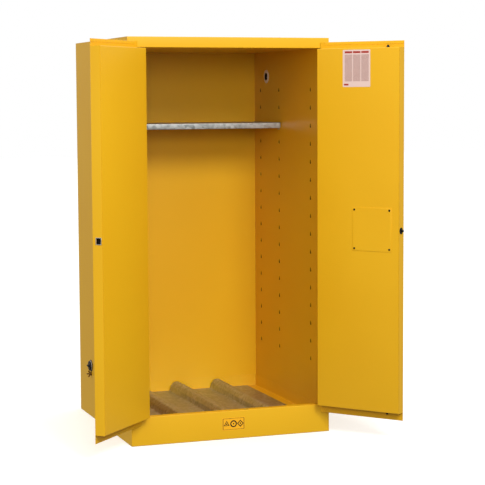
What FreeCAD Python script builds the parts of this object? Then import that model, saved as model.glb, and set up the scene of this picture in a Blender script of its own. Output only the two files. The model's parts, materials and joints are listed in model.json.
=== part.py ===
"""Two-door flammable storage cabinet for one upright drum, 1651 x 864 x 864 mm.

Own frame: +Z up, +X to the right of a person facing the doors, +Y into the cabinet.
The origin is the centre of the cabinet's footprint, on the floor. Everything on a door
is drawn with the door shut and then turned open about its hinge pin.
"""
import FreeCAD, Part
import math
import os
from FreeCAD import Placement, Rotation, Vector

doc = FreeCAD.newDocument("Cabinet")
sheet = doc.addObject("Spreadsheet::Sheet", "Sizes")
NODES = {}


# ---------------------------------------------------------------- sizes
class Size:
    """A length that knows its value and the sheet expression it comes from."""

    def __init__(self, value, text):
        self.value = value
        self.text = text

    def join(self, other, sign, value):
        return Size(value, "(" + self.text + sign + other.text + ")")

    def __add__(self, other):
        other = as_size(other)
        return self.join(other, " + ", self.value + other.value)

    def __sub__(self, other):
        other = as_size(other)
        return self.join(other, " - ", self.value - other.value)

    def __mul__(self, other):
        other = as_size(other)
        return self.join(other, " * ", self.value * other.value)

    def __truediv__(self, other):
        other = as_size(other)
        return self.join(other, " / ", self.value / other.value)

    def __neg__(self):
        return self * -1

    def __radd__(self, other):
        return as_size(other) + self

    def __rsub__(self, other):
        return as_size(other) - self

    __rmul__ = __mul__


def as_size(value):
    return value if isinstance(value, Size) else Size(float(value), repr(float(value)))


def dimension(alias, value, note):
    """Put a driving dimension in the next row of the sheet."""
    dimension.row += 1
    row = str(dimension.row)
    sheet.set("A" + row, note)
    sheet.set("B" + row, str(value))
    sheet.setAlias("B" + row, alias)
    return Size(float(value), "Sizes." + alias)


dimension.row = 0

width = dimension("width", 864, "outside width")
depth = dimension("depth", 860, "outside depth without the doors")
height = dimension("height", 1651, "outside height")
gauge = dimension("gauge", 1.2, "18 gauge sheet")
stile = dimension("stile", 40, "width of a stile, and of the space in a side wall")
back_space = dimension("back_space", 68, "outer back to the face of the inner back")
sill_high = dimension("sill_high", 117, "floor to the top of the sill")
header_high = dimension("header_high", 43, "height of the strip above the doors")
lip = dimension("lip", 30, "depth of the lips of sill and header")
sump_floor = dimension("sump_floor", 66, "floor to the bottom of the sump")
bracket_level = dimension("bracket_level", 30, "floor to the brackets of the feet")
slot_rows = dimension("slot_rows", 16, "rows of shelf slots")
slot_pitch = dimension("slot_pitch", 76.2, "height between slots")
slot_start = dimension("slot_start", 294, "floor to the lowest slot")
slot_round = dimension("slot_round", 7, "radius of the wide end of a slot")
shelf_row = dimension("shelf_row", 13, "row that carries the shelf, from 0")
shelf_rise = dimension("shelf_rise", 11.4, "slot to the top of the shelf")
shelf_front = dimension("shelf_front", 20, "Y of the shelf's front edge")
shelf_lip = dimension("shelf_lip", 25, "height of the shelf's front lip")
vent_low_y = dimension("vent_low_y", 228, "Y of the low vent, left side")
vent_low_z = dimension("vent_low_z", 229, "height of the low vent")
vent_high_y = dimension("vent_high_y", 205, "Y of the high vent, right side")
vent_high_z = dimension("vent_high_z", 1500, "height of the high vent")
vent_tube = dimension("vent_tube", 22, "outer radius of a vent tube")
vent_bore = dimension("vent_bore", 16, "radius of a vent's inner mouth")
hinge_x = dimension("hinge_x", 390, "X of a hinge pin")
pin_out = dimension("pin_out", 3, "hinge pin in front of the stile")
pin_round = dimension("pin_round", 1.5, "radius of a hinge pin")
knuckle_round = dimension("knuckle_round", 3, "outer radius of a hinge knuckle")
knuckle_count = dimension("knuckle_count", 14, "knuckles on each hinge leaf")
door_edge = dimension("door_edge", 4, "X of a door's free edge when shut")
door_thick = dimension("door_thick", 43, "hinge pin plane to the inner face of a door")
skin_top = dimension("skin_top", 1632, "top of a door's outer sheet")
skin_bottom = dimension("skin_bottom", 86, "bottom of a door's outer sheet")
pan_gap = dimension("pan_gap", 3.5, "door box to sill and to header")
pan_setback = dimension("pan_setback", 10, "hinge pin to the door box")
right_open = dimension("right_open", 129, "angle the right door stands open")
left_open = dimension("left_open", 133.5, "angle the left door stands open")
rod_x = dimension("rod_x", 66, "X of the latch rods, right door shut")
rod_in = dimension("rod_in", 18, "latch rods behind the front plane")
rod_round = dimension("rod_round", 4, "radius of a latch rod")
bullet_round = dimension("bullet_round", 6, "radius of a latch bullet")
bullet_out = dimension("bullet_out", 11, "bullet beyond the door box")
throw = dimension("throw", 12.94, "travel of rods and latch bar")
latch_z = dimension("latch_z", 868, "height of the latch bar")
hub_rise = dimension("hub_rise", 16, "hub above the latch bar")
hub_round = dimension("hub_round", 18, "radius of the hub disc")
crank_pin = dimension("crank_pin", 2.5, "radius of the hub's crank pins")
paddle_x = dimension("paddle_x", 100, "X of the paddle's pivot, door shut")
paddle_in = dimension("paddle_in", 3, "paddle pivot behind the front plane")
lever_arm = dimension("lever_arm", 25, "paddle pivot to the end of its lever")
panel_x = dimension("panel_x", 127, "X of the access panel's centre, door shut")
panel_z = dimension("panel_z", 870, "height of the access panel's centre")
panel_side = dimension("panel_side", 179, "side of the access panel")
screw_pitch = dimension("screw_pitch", 159, "spacing of the access panel's screws")
foot_x = dimension("foot_x", 385, "X of a levelling foot")
foot_y = dimension("foot_y", 380, "Y of a levelling foot")
support_edge = dimension("support_edge", 346, "X of the drum support's edge")
support_thick = dimension("support_thick", 2, "thickness of the drum support")
ridge_pitch = dimension("ridge_pitch", 196, "spacing of the drum support's ridges")
ridge_high = dimension("ridge_high", 42, "height of a ridge")

# Places that several pieces share.
FRONT = -depth / 2
BACK = depth / 2
SIDE = width / 2
INNER = SIDE - stile
INNER_BACK = BACK - back_space
CEILING = height - header_high
PIN_Y = FRONT - pin_out
SKIN_FACE = PIN_Y - gauge / 2
SKIN_BACK = PIN_Y + gauge / 2
PAN_FACE = PIN_Y + door_thick
PAN_LOW = sill_high + pan_gap
PAN_HIGH = CEILING - pan_gap
PAN_SIDE = hinge_x - pan_setback
ROD_Y = FRONT + rod_in
HUB_Z = latch_z + hub_rise
SHELF_SLOT = slot_start + slot_pitch * shelf_row.value
SHELF_TOP = SHELF_SLOT + shelf_rise
CLEAR = 0.05


# ---------------------------------------------------------------- building blocks
def bind(thing, **lengths):
    for name, length in lengths.items():
        thing.setExpression(name, as_size(length).text)
    return thing


def place(thing, x, y, z):
    for name, length in zip("xyz", (x, y, z)):
        thing.setExpression(".Placement.Base." + name, as_size(length).text)
    return thing


def span(side, first, second):
    """A range across X on the right (side 1) or mirrored on the left (side -1)."""
    first, second = as_size(first), as_size(second)
    return (first, second) if side > 0 else (-second, -first)


def block(x, y, z):
    low = [as_size(pair[0]) for pair in (x, y, z)]
    high = [as_size(pair[1]) for pair in (x, y, z)]
    box = doc.addObject("Part::Box", "Block")
    run = [top - bottom for bottom, top in zip(low, high)]
    bind(box, Length=run[0], Width=run[1], Height=run[2])
    return place(box, *low)


TURN = {"x": Rotation(Vector(0, 1, 0), 90), "y": Rotation(Vector(1, 0, 0), -90), "z": Rotation()}


def rod(axis, start, length, radius):
    """A round bar from start, along +X, +Y or +Z."""
    bar = doc.addObject("Part::Cylinder", "Rod")
    bind(bar, Radius=radius, Height=length)
    bar.Placement = Placement(Vector(), TURN[axis])
    return place(bar, *start)


def taper(axis, start, length, first, last):
    cone = doc.addObject("Part::Cone", "Taper")
    bind(cone, Radius1=first, Radius2=last, Height=length)
    cone.Placement = Placement(Vector(), TURN[axis])
    return place(cone, *start)


def join(*pieces):
    if len(pieces) == 1:
        return pieces[0]
    fused = doc.addObject("Part::MultiFuse", "Join")
    fused.Shapes = list(pieces)
    return fused


def group(*pieces):
    """Separate solids of one kind in one node."""
    compound = doc.addObject("Part::Compound", "Group")
    compound.Links = list(pieces)
    return compound


def cut(base, *tools):
    result = doc.addObject("Part::Cut", "Cut")
    result.Base = base
    result.Tool = join(*tools)
    return result


def node(name, thing, placement=None):
    thing.Label = name
    if placement is not None:
        thing.Placement = placement
    NODES[name] = thing
    return thing


def plane(body, role):
    for feature in body.Origin.OriginFeatures:
        if feature.Role == role:
            return feature


def new_sketch(body, role, offset=0):
    sketch = body.newObject("Sketcher::SketchObject", body.Name + "Sketch")
    sketch.AttachmentSupport = (plane(body, role), [""])
    sketch.MapMode = "FlatFace"
    sketch.setExpression(".AttachmentOffset.Base.z", as_size(offset).text)
    return sketch


import Sketcher  # noqa: E402  (the sketcher needs the Part module loaded first)


def pin_point(sketch, edge, end, point):
    for kind, length in zip(("DistanceX", "DistanceY"), point):
        index = sketch.addConstraint(Sketcher.Constraint(kind, -1, 1, edge, end, length.value))
        sketch.setExpression("Constraints[" + str(index) + "]", length.text)


def outline(sketch, points):
    """A closed polygon whose every corner is bound to the sheet."""
    points = [(as_size(x), as_size(y)) for x, y in points]
    first = sketch.GeometryCount
    count = len(points)
    for index, point in enumerate(points):
        following = points[(index + 1) % count]
        ends = [Vector(x.value, y.value, 0) for x, y in (point, following)]
        sketch.addGeometry(Part.LineSegment(*ends), False)
    for index in range(count):
        following = first + (index + 1) % count
        sketch.addConstraint(Sketcher.Constraint("Coincident", first + index, 2, following, 1))
    for index, point in enumerate(points):
        pin_point(sketch, first + index, 1, point)


def rectangle(sketch, x, y):
    outline(sketch, [(x[0], y[0]), (x[1], y[0]), (x[1], y[1]), (x[0], y[1])])


def circle(sketch, centre, radius):
    centre = [as_size(value) for value in centre]
    radius = as_size(radius)
    middle = Vector(centre[0].value, centre[1].value, 0)
    edge = sketch.addGeometry(Part.Circle(middle, Vector(0, 0, 1), radius.value), False)
    pin_point(sketch, edge, 3, centre)
    index = sketch.addConstraint(Sketcher.Constraint("Radius", edge, radius.value))
    sketch.setExpression("Constraints[" + str(index) + "]", radius.text)


def feature(body, kind, sketch, length=None, reverse=False):
    """A Pad or Pocket of the sketch. Without a length it goes through everything."""
    made = body.newObject("PartDesign::" + kind, body.Name + kind)
    made.Profile = sketch
    made.Reversed = reverse
    if length is None:
        made.Type = "ThroughAll"
        made.Midplane = True
    else:
        bind(made, Length=length)
    return made


def repeat_up(body, original, pitch, count):
    """Repeat a feature along Z."""
    row = body.newObject("PartDesign::LinearPattern", body.Name + "Row")
    row.Originals = [original]
    row.Direction = (plane(body, "Z_Axis"), [""])
    row.Mode = "Spacing"
    bind(row, Offset=pitch, Occurrences=count)
    body.Tip = row
    return row


def new_body(name):
    return doc.addObject("PartDesign::Body", name)


def bent_sheet(name, role, points, start, length, reverse=False):
    """A folded sheet: its section drawn on an origin plane and drawn out along it."""
    body = new_body(name)
    sketch = new_sketch(body, role, start)
    outline(sketch, points)
    feature(body, "Pad", sketch, length, reverse)
    return body


# ---------------------------------------------------------------- outer shell
def outer_side(side, name, vent_y, vent_z):
    """Side sheet with its stile folded across the front and a return along the opening."""
    outer = block(span(side, SIDE - gauge, SIDE), (FRONT, BACK), (0, height))
    face = block(span(side, INNER, SIDE - gauge), (FRONT, FRONT + gauge), (sill_high, CEILING))
    inner = block(span(side, INNER, INNER + gauge), (FRONT + gauge, FRONT + lip), (sill_high, CEILING))
    start = as_size(SIDE - 5) if side > 0 else -SIDE - 5
    hole = rod("x", (start, vent_y, vent_z), 10, vent_tube + CLEAR)
    node(name, cut(join(outer, face, inner), hole))


def sill():
    """Front strip below the doors, with a lip folded back and a slot for the latch."""
    body = bent_sheet("Sill", "YZ_Plane", [
        (FRONT, 0), (FRONT + gauge, 0), (FRONT + gauge, sill_high - gauge),
        (FRONT + lip, sill_high - gauge), (FRONT + lip, sill_high), (FRONT, sill_high),
    ], -SIDE + gauge, width - gauge * 2)
    slot = new_sketch(body, "XY_Plane", sill_high - gauge * 2)
    rectangle(slot, (rod_x - 13.5, rod_x + 13.5), (ROD_Y - 7, ROD_Y + 7))
    feature(body, "Pocket", slot, gauge * 3, True)
    node("sill", body)


def header():
    """Strip above the doors, with a lip folded back and a slot for the latch."""
    body = bent_sheet("Header", "YZ_Plane", [
        (FRONT, CEILING), (FRONT + lip, CEILING), (FRONT + lip, CEILING + gauge),
        (FRONT + gauge, CEILING + gauge), (FRONT + gauge, height), (FRONT, height),
    ], -SIDE + gauge, width - gauge * 2)
    slot = new_sketch(body, "XY_Plane", CEILING - gauge)
    rectangle(slot, (rod_x - 13.5, rod_x + 13.5), (ROD_Y - 7, ROD_Y + 7))
    feature(body, "Pocket", slot, gauge * 3, True)
    node("header", body)


def outer_sheets():
    between = (-SIDE + gauge, SIDE - gauge)
    node("outer_back", block(between, (BACK - gauge, BACK), (0, height)))
    node("outer_top", block(between, (FRONT + gauge, BACK - gauge), (height - gauge, height)))
    base = block(between, (FRONT + gauge, BACK - gauge), (0, gauge))
    holes = [rod("z", (x, y, -5), 10, 23) for x, y in feet_places()]
    node("outer_bottom", cut(base, *holes))


def feet_places():
    return [(x, y) for y in (-foot_y, foot_y) for x in (-foot_x, foot_x)]


# ---------------------------------------------------------------- inner liner
def slot_outline(sketch, y, z):
    """Shelf slot: a wide round end below and a narrow round end above."""
    narrow = 3
    rise = 10
    half = slot_round.value
    y, z = as_size(y).value, z.value
    ends = [Vector(y + half, z, 0), Vector(y - half, z, 0)]
    tops = [Vector(y + narrow, z + rise, 0), Vector(y - narrow, z + rise, 0)]
    first = sketch.GeometryCount
    sketch.addGeometry([
        Part.Arc(ends[1], Vector(y, z - half, 0), ends[0]),
        Part.LineSegment(ends[0], tops[0]),
        Part.Arc(tops[0], Vector(y, z + rise + narrow, 0), tops[1]),
        Part.LineSegment(tops[1], ends[1]),
    ], False)
    for index in range(4):
        sketch.addConstraint(Sketcher.Constraint("Block", first + index))


def inner_side(side, name, vent_y, vent_z):
    """Liner sheet with three columns of shelf slots and the vent's hole."""
    body = new_body(name.title().replace("_", ""))
    start = INNER if side > 0 else -INNER - gauge
    panel = new_sketch(body, "YZ_Plane", start)
    rectangle(panel, (FRONT + lip, INNER_BACK), (sill_high - 54, CEILING))
    circle(panel, (vent_y, vent_z), vent_tube + CLEAR)
    feature(body, "Pad", panel, gauge)
    slots = new_sketch(body, "YZ_Plane", start - 5)
    for column in (-322, 50, 284):
        slot_outline(slots, column, slot_start)
    first_row = feature(body, "Pocket", slots, 10 + gauge, True)
    repeat_up(body, first_row, slot_pitch, slot_rows)
    node(name, body)


def liner():
    inner_side(-1, "inner_side_left", vent_low_y, vent_low_z)
    inner_side(1, "inner_side_right", vent_high_y, vent_high_z)
    across = (-INNER - gauge, INNER + gauge)
    deep = (INNER_BACK, INNER_BACK + gauge)
    node("inner_back", block(across, deep, (sill_high - 54, CEILING)))
    node("inner_top", block(across, (FRONT + lip, INNER_BACK + gauge), (CEILING, CEILING + gauge)))


def sump():
    """Leak-tight tray that fills the bottom of the cabinet behind the sill."""
    body = new_body("SumpPan")
    reach = INNER - 0.2
    front, back = FRONT + lip + 0.2, INNER_BACK - 0.2
    plan = new_sketch(body, "XY_Plane", sump_floor - gauge)
    rectangle(plan, (-reach, reach), (front, back))
    feature(body, "Pad", plan, sill_high - sump_floor + gauge)
    well = new_sketch(body, "XY_Plane", sump_floor)
    rectangle(well, (gauge - reach, reach - gauge), (front + gauge, back - gauge))
    feature(body, "Pocket", well, sill_high - sump_floor, True)
    node("sump_pan", body)


# ---------------------------------------------------------------- drum support and shelf
def drum_support():
    """Galvanised floor plate with three rolled ridges that keep a drum off the sump."""
    low = sump_floor + 0.2
    steep, long_slope, crown = 34, 79, 9
    sketch_points = []
    for index in (-1, 0, 1):
        top = ridge_pitch * index
        sketch_points += [
            (top - steep, 0), (top - steep + 3, 14), (top - steep + 12, 29), (top - crown, 39),
            (top, ridge_high.value), (top + crown, 40), (top + long_slope, 0),
        ]
    upper = [(-support_edge, low + support_thick)]
    upper += [(x, low + support_thick + rise) for x, rise in sketch_points]
    upper += [(support_edge, low + support_thick)]
    lower = [(support_edge, low)]
    shift = support_thick
    for x, rise in reversed(sketch_points):
        inward = 0 if rise == 0 else shift.value
        lean = {0: 1.6, 14: 1.9, 29: 1.3, 39: 0.6}.get(rise, -0.5)
        lower += [(x + lean, low + rise + support_thick - shift - (0.6 if inward else 0))]
    lower += [(-support_edge, low)]
    body = bent_sheet("DrumSupport", "XZ_Plane", upper + lower, 385, INNER_BACK + 375, True)
    node("drum_support", body)


def shelf():
    """Half-depth galvanised shelf: a shallow inverted tray with a folded front lip."""
    reach, back = INNER - 4, INNER_BACK - 7
    top = block((-reach, reach), (shelf_front, back), (SHELF_TOP - gauge, SHELF_TOP))
    flange = (SHELF_TOP - 20, SHELF_TOP)
    left = block((-reach, gauge - reach), (shelf_front, back), flange)
    right = block((reach - gauge, reach), (shelf_front, back), flange)
    rear = block((-reach, reach), (back - gauge, back), flange)
    low = SHELF_TOP - shelf_lip
    lip_face = block((-reach, reach), (shelf_front, shelf_front + gauge), (low, SHELF_TOP))
    hem_x = (gauge * 2 - reach, reach - gauge * 2)
    hem = block(hem_x, (shelf_front, shelf_front + 12), (low, low + gauge))
    node("shelf", join(top, left, right, rear, lip_face, hem))


def shelf_clips():
    """Four hooks in the slots; the shelf's side flanges rest on their ledges."""
    clips = []
    ledge = SHELF_TOP - 20
    for side in (-1, 1):
        for column in (50, 284):
            deep = (column - 10, column + 10)
            wall = block(span(side, INNER - 1.8, INNER - 0.3), deep, (ledge - 12, ledge + 12))
            tongue = block(span(side, INNER - 1.8, INNER + 4), (column - 1.4, column + 1.4),
                           (SHELF_SLOT - 1, SHELF_SLOT + 4))
            hook = block(span(side, INNER + 2.4, INNER + 4), (column - 1.4, column + 1.4),
                         (SHELF_SLOT - 8, SHELF_SLOT + 4))
            rest = block(span(side, INNER - 14, INNER - 1.8), deep, (ledge - 1.5, ledge))
            clips.append(join(wall, tongue, hook, rest))
    node("shelf_clips", group(*clips))


# ---------------------------------------------------------------- vents and earth stud
def turned(name, points, placement):
    """A turned piece: half section in (radius, length), spun about its own Z."""
    body = new_body(name)
    sketch = new_sketch(body, "XZ_Plane")
    outline(sketch, points)
    spin = body.newObject("PartDesign::Revolution", name + "Turn")
    spin.Profile = sketch
    spin.ReferenceAxis = (plane(body, "Z_Axis"), [""])
    spin.Angle = 360
    body.Placement = placement
    return body


VENT_NUTS = []
FLAME_SCREENS = []


def vent(side, place_name, y, z):
    """Vent through both walls: collar, flame screen and screwed cap, drawn inside to outside."""
    out = Rotation(Vector(0, 1, 0), 90 * side)
    where = Placement(Vector(side * INNER.value, y.value, z.value), out)
    wall = stile.value
    inner, tube = vent_bore, vent_tube
    title = place_name.title()
    node("vent_collar_" + place_name, turned("Collar" + title, [
        (inner, -2.5), (30, -2.5), (30, -0.2), (tube, -0.2), (tube, wall + 5), (tube - 3.8, wall + 5),
        (tube - 3.8, 8), (inner, 8),
    ], where))
    VENT_NUTS.append(turned("VentNut" + title, [
        (tube + CLEAR, wall), (25.5, wall), (25.5, wall + 3), (tube + CLEAR, wall + 3),
    ], where))
    FLAME_SCREENS.append(turned("Screen" + title, [
        (0, 9), (tube - 4, 9), (tube - 4, 11), (0, 11),
    ], where))
    cap = turned("Cap" + title, [
        (0, wall - 6), (tube - 4, wall - 6), (tube - 4, wall + 5.2), (tube - 1, wall + 5.2),
        (tube - 1, wall + 9), (tube - 3, wall + 11), (0, wall + 11),
    ], where)
    grip = doc.addObject("Part::Box", "Grip" + title)
    bind(grip, Length=26, Width=7, Height=8)
    grip.Placement = where.multiply(Placement(Vector(-13, -3.5, wall + 10), Rotation()))
    node("vent_cap_" + place_name, join(cap, grip))


def earth_stud():
    """Brass stud and wing nut on the left side for the bonding wire."""
    y, z = vent_low_y, vent_low_z - 36
    left = -SIDE
    boss = rod("x", (left - 3, y, z), 3, 9)
    node("earth_stud", join(boss, rod("x", (left - 21, y, z), 21, 3)))
    hub = rod("x", (left - 11, y, z), 7, 6.5)
    wings = block((left - 16, left - 6), (y - 15, y + 15), (z - 1.5, z + 1.5))
    bore = rod("x", (left - 22, y, z), 22, 3 + CLEAR)
    node("earth_wing_nut", cut(join(hub, wings), bore))


# ---------------------------------------------------------------- feet and labels
def feet():
    """Levelling feet on threaded studs, in nuts under brackets in the four corners."""
    names = ("front_left", "front_right", "back_left", "back_right")
    nuts = []
    brackets = []
    for name, (x, y) in zip(names, feet_places()):
        pad = taper("z", (x, y, 0), 8, 20, 16)
        node("foot_" + name, join(pad, rod("z", (x, y, 0), 56, 5)))
        nut = doc.addObject("Part::Prism", "Nut")
        nut.Polygon = 6
        bind(nut, Circumradius=9.8, Height=8)
        place(nut, x, y, bracket_level - 8)
        nuts.append(cut(nut, rod("z", (x, y, bracket_level - 9), 10, 5 + CLEAR)))
        sign = 1 if x.value > 0 else -1
        reach = span(sign, foot_x - 30, SIDE - gauge)
        plate = block(reach, (y - 30, y + 30), (bracket_level, bracket_level + 3))
        flange = block(span(sign, SIDE - gauge * 3, SIDE - gauge), (y - 30, y + 30),
                       (bracket_level + 3, bracket_level + 28))
        brackets.append(cut(join(plate, flange), rod("z", (x, y, bracket_level - 1), 5, 5.5)))
    node("foot_nuts", group(*nuts))
    node("foot_brackets", group(*brackets))


def sill_label():
    node("sill_label", block((-46, 54), (FRONT - 0.3, FRONT), (36, 89)))


def strike_plates():
    """Hardened plates behind the slots of header and sill, where the bullets catch."""
    plates = []
    for level in (CEILING + gauge, sill_high - gauge - 2):
        plate = block((rod_x - 26, rod_x + 26), (ROD_Y - 11, ROD_Y + 11), (level, level + 2))
        slot = block((rod_x - 12, rod_x + 12), (ROD_Y - 6.6, ROD_Y + 6.6), (level - 1, level + 3))
        plates.append(cut(plate, slot))
    node("strike_plates", group(*plates))


# ---------------------------------------------------------------- hinges
def swing(side):
    """How a door stands: turned open about its hinge pin."""
    angle = right_open.value if side > 0 else -left_open.value
    centre = Vector(side * hinge_x.value, PIN_Y.value, 0)
    return Placement(Vector(), Rotation(Vector(0, 0, 1), angle), centre)


def hinge_leaf(name, side, leaf, y, tab, shift, placement=None):
    """Half of a piano hinge: a long leaf, and every second knuckle around the pin."""
    body = new_body(name.title().replace("_", ""))
    length = PAN_HIGH - PAN_LOW
    pitch = length / knuckle_count
    plate = new_sketch(body, "XY_Plane", PAN_LOW)
    rectangle(plate, span(side, *leaf), y)
    feature(body, "Pad", plate, length)
    tongue = new_sketch(body, "XY_Plane", PAN_LOW + pitch / 2 * shift)
    rectangle(tongue, span(side, *tab), y)
    bridge = feature(body, "Pad", tongue, pitch / 2 - 0.4)
    repeat_up(body, bridge, pitch, knuckle_count)
    ring = new_sketch(body, "XY_Plane", PAN_LOW + pitch / 2 * shift)
    circle(ring, (hinge_x * side, PIN_Y), knuckle_round)
    circle(ring, (hinge_x * side, PIN_Y), pin_round + CLEAR)
    barrel = feature(body, "Pad", ring, pitch / 2 - 0.4)
    repeat_up(body, barrel, pitch, knuckle_count)
    node(name, body, placement)


def hinges():
    for side, name in ((-1, "left"), (1, "right")):
        hinge_leaf("hinge_frame_leaf_" + name, side, (hinge_x + 3.6, hinge_x + 34),
                   (FRONT - gauge, FRONT), (hinge_x + 0.2, hinge_x + 5), 0)
        hinge_leaf("hinge_door_leaf_" + name, side, (PAN_SIDE + 1, hinge_x - 3.7),
                   (SKIN_BACK, SKIN_BACK + gauge), (hinge_x - 5, hinge_x - 1.9), 1, swing(side))
        pin = rod("z", (hinge_x * side, PIN_Y, PAN_LOW), PAN_HIGH - PAN_LOW, pin_round)
        node("hinge_pin_" + name, pin)


# ---------------------------------------------------------------- doors
def door_skin(side, name, *openings):
    """Outer sheet that laps over header and sill, with the free edge folded back."""
    face = block(span(side, door_edge, hinge_x - 4), (SKIN_FACE, SKIN_BACK), (skin_bottom, skin_top))
    edge = block(span(side, door_edge, door_edge + gauge), (SKIN_BACK, PAN_FACE), (PAN_LOW, PAN_HIGH))
    node("door_skin_" + name, cut(join(face, edge), *openings), swing(side))


def door_pan(side, name, openings):
    """Inner half of the door box: a tray that closes it at top, bottom and hinge side."""
    body = new_body("DoorPan" + name.title())
    reach = span(side, door_edge + gauge, PAN_SIDE)
    plan = new_sketch(body, "XZ_Plane", -PAN_FACE)
    rectangle(plan, reach, (PAN_LOW, PAN_HIGH))
    feature(body, "Pad", plan, PAN_FACE - SKIN_BACK)
    hollow = new_sketch(body, "XZ_Plane", -PAN_FACE + gauge)
    rectangle(hollow, span(side, door_edge, PAN_SIDE - gauge), (PAN_LOW + gauge, PAN_HIGH - gauge))
    feature(body, "Pocket", hollow, door_thick, True)
    if openings:
        guides = new_sketch(body, "XY_Plane", PAN_LOW - 1)
        circle(guides, (rod_x, ROD_Y), bullet_round + 2)
        feature(body, "Pocket", guides, PAN_HIGH - PAN_LOW + 2, True)
        access = new_sketch(body, "XZ_Plane", -PAN_FACE - 1)
        half = panel_side / 2 - 20
        rectangle(access, (panel_x - half, panel_x + half), (panel_z - half, panel_z + half))
        feature(body, "Pocket", access, gauge + 2, True)
    node("door_pan_" + name, body, swing(side))


def doors():
    edge_hole = block((-door_edge - 3, -door_edge + 3), (SKIN_BACK + 16, SKIN_BACK + 35),
                      (latch_z - 11, latch_z + 11))
    door_skin(-1, "left", edge_hole)
    door_pan(-1, "left", False)
    through = (SKIN_FACE - 1, SKIN_BACK + 1)
    dish = block((paddle_x - 12, paddle_x + 88), through, (latch_z - 52, latch_z + 52))
    lock = rod("y", (paddle_x + 38, SKIN_FACE - 1, latch_z + 71), 4, 9.3)
    bullet = rod("x", (door_edge - 1, ROD_Y + 5, latch_z), 4, bullet_round + 2)
    door_skin(1, "right", dish, lock, bullet)
    door_pan(1, "right", True)
    tall = (latch_z - 14, latch_z + 14)
    frame = block((-door_edge, -door_edge + 1.2), (SKIN_BACK + 13, SKIN_BACK + 38), tall)
    clear = (latch_z - 11, latch_z + 11)
    mouth = block((-door_edge - 1, -door_edge + 3), (SKIN_BACK + 16, SKIN_BACK + 35), clear)
    node("strike_frame_left", cut(frame, mouth), swing(-1))


# ---------------------------------------------------------------- latch in the right door
def latch_rod(name, up):
    """Rod with a bevelled bullet, a collar for its spring and a slotted yoke for the hub."""
    sign = 1 if up else -1
    end = PAN_HIGH + bullet_out if up else PAN_LOW - bullet_out
    bullet_root = end - sign * 60
    foot = HUB_Z + sign * 15

    def upright(start, length, radius):
        low = start if up else start - length
        return rod("z", (rod_x, ROD_Y, low), length, radius)

    shaft_length = (bullet_root - foot) * sign
    shaft = upright(foot, shaft_length, rod_round)
    bullet = upright(bullet_root, 54, bullet_round)
    tip_low = end - 6 if up else end
    wide, narrow = bullet_round, bullet_round - 3.5
    tip = taper("z", (rod_x, ROD_Y, tip_low), 6, wide if up else narrow, narrow if up else wide)
    collar = upright(HUB_Z + sign * 90, 4, 8.5)
    thick = (ROD_Y + 1.5, ROD_Y + 4.5)

    def ordered(first, second):
        return (first, second) if up else (second, first)

    arm_x = span(1, rod_x - 19, rod_x - 6) if up else span(1, rod_x + 6, rod_x + 19)
    bridge_x = (rod_x - 19, rod_x + 4) if up else (rod_x - 4, rod_x + 19)
    arm = block(arm_x, thick, ordered(HUB_Z + sign * 2.5, HUB_Z + sign * 22))
    bridge = block(bridge_x, thick, ordered(HUB_Z + sign * 15, HUB_Z + sign * 22))
    pin_z = HUB_Z + throw * (sign * 0.5)
    slot_x = (rod_x - 16, rod_x - 8) if up else (rod_x + 8, rod_x + 16)
    slot = block(slot_x, (ROD_Y, ROD_Y + 6), (pin_z - crank_pin - 0.3, pin_z + crank_pin + 0.3))
    solid = cut(join(shaft, bullet, tip, collar, arm, bridge), slot)
    node(name, solid, swing(1))


def hub():
    """Disc on a stud: two crank pins drive the rods and one is driven by the bar."""
    disc = rod("y", (rod_x, ROD_Y + 5.5, HUB_Z), 3, hub_round)
    pins = []
    for angle, start in ((150, 0.6), (-30, 0.6), (-120, 8.5)):
        x = rod_x + throw * math.cos(math.radians(angle))
        z = HUB_Z + throw * math.sin(math.radians(angle))
        pins.append(rod("y", (x, ROD_Y + start, z), 4.9, crank_pin))
    bore = rod("y", (rod_x, ROD_Y, HUB_Z), 20, 4 + CLEAR)
    node("latch_hub", cut(join(disc, *pins), bore), swing(1))


def latch_bar():
    """Sliding bar: one end is the middle bullet, the other is moved by the paddle's lever."""
    layer = (ROD_Y + 9.5, ROD_Y + 12.5)
    plate = block((22, paddle_x + 6), layer, (latch_z - 9, latch_z + 9))
    stop = -bullet_out + door_edge - 1
    shaft = rod("x", (stop + 5, ROD_Y + 5, latch_z), 30 - stop - 5, bullet_round)
    tip = taper("x", (stop, ROD_Y + 5, latch_z), 5, bullet_round - 3, bullet_round)
    pin_x = rod_x - throw / 2
    notch = block((pin_x - crank_pin - 0.15, pin_x + crank_pin + 0.15), (ROD_Y + 8, ROD_Y + 14),
                  (latch_z, latch_z + 10))
    lever_x = paddle_x - throw / 2
    window_x = (lever_x - 4.2, lever_x + 4.2)
    window = block(window_x, (ROD_Y + 8, ROD_Y + 14), (latch_z - 6.4, latch_z + 6.4))
    node("latch_bar", cut(join(plate, shaft, tip), notch, window), swing(1))


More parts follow.
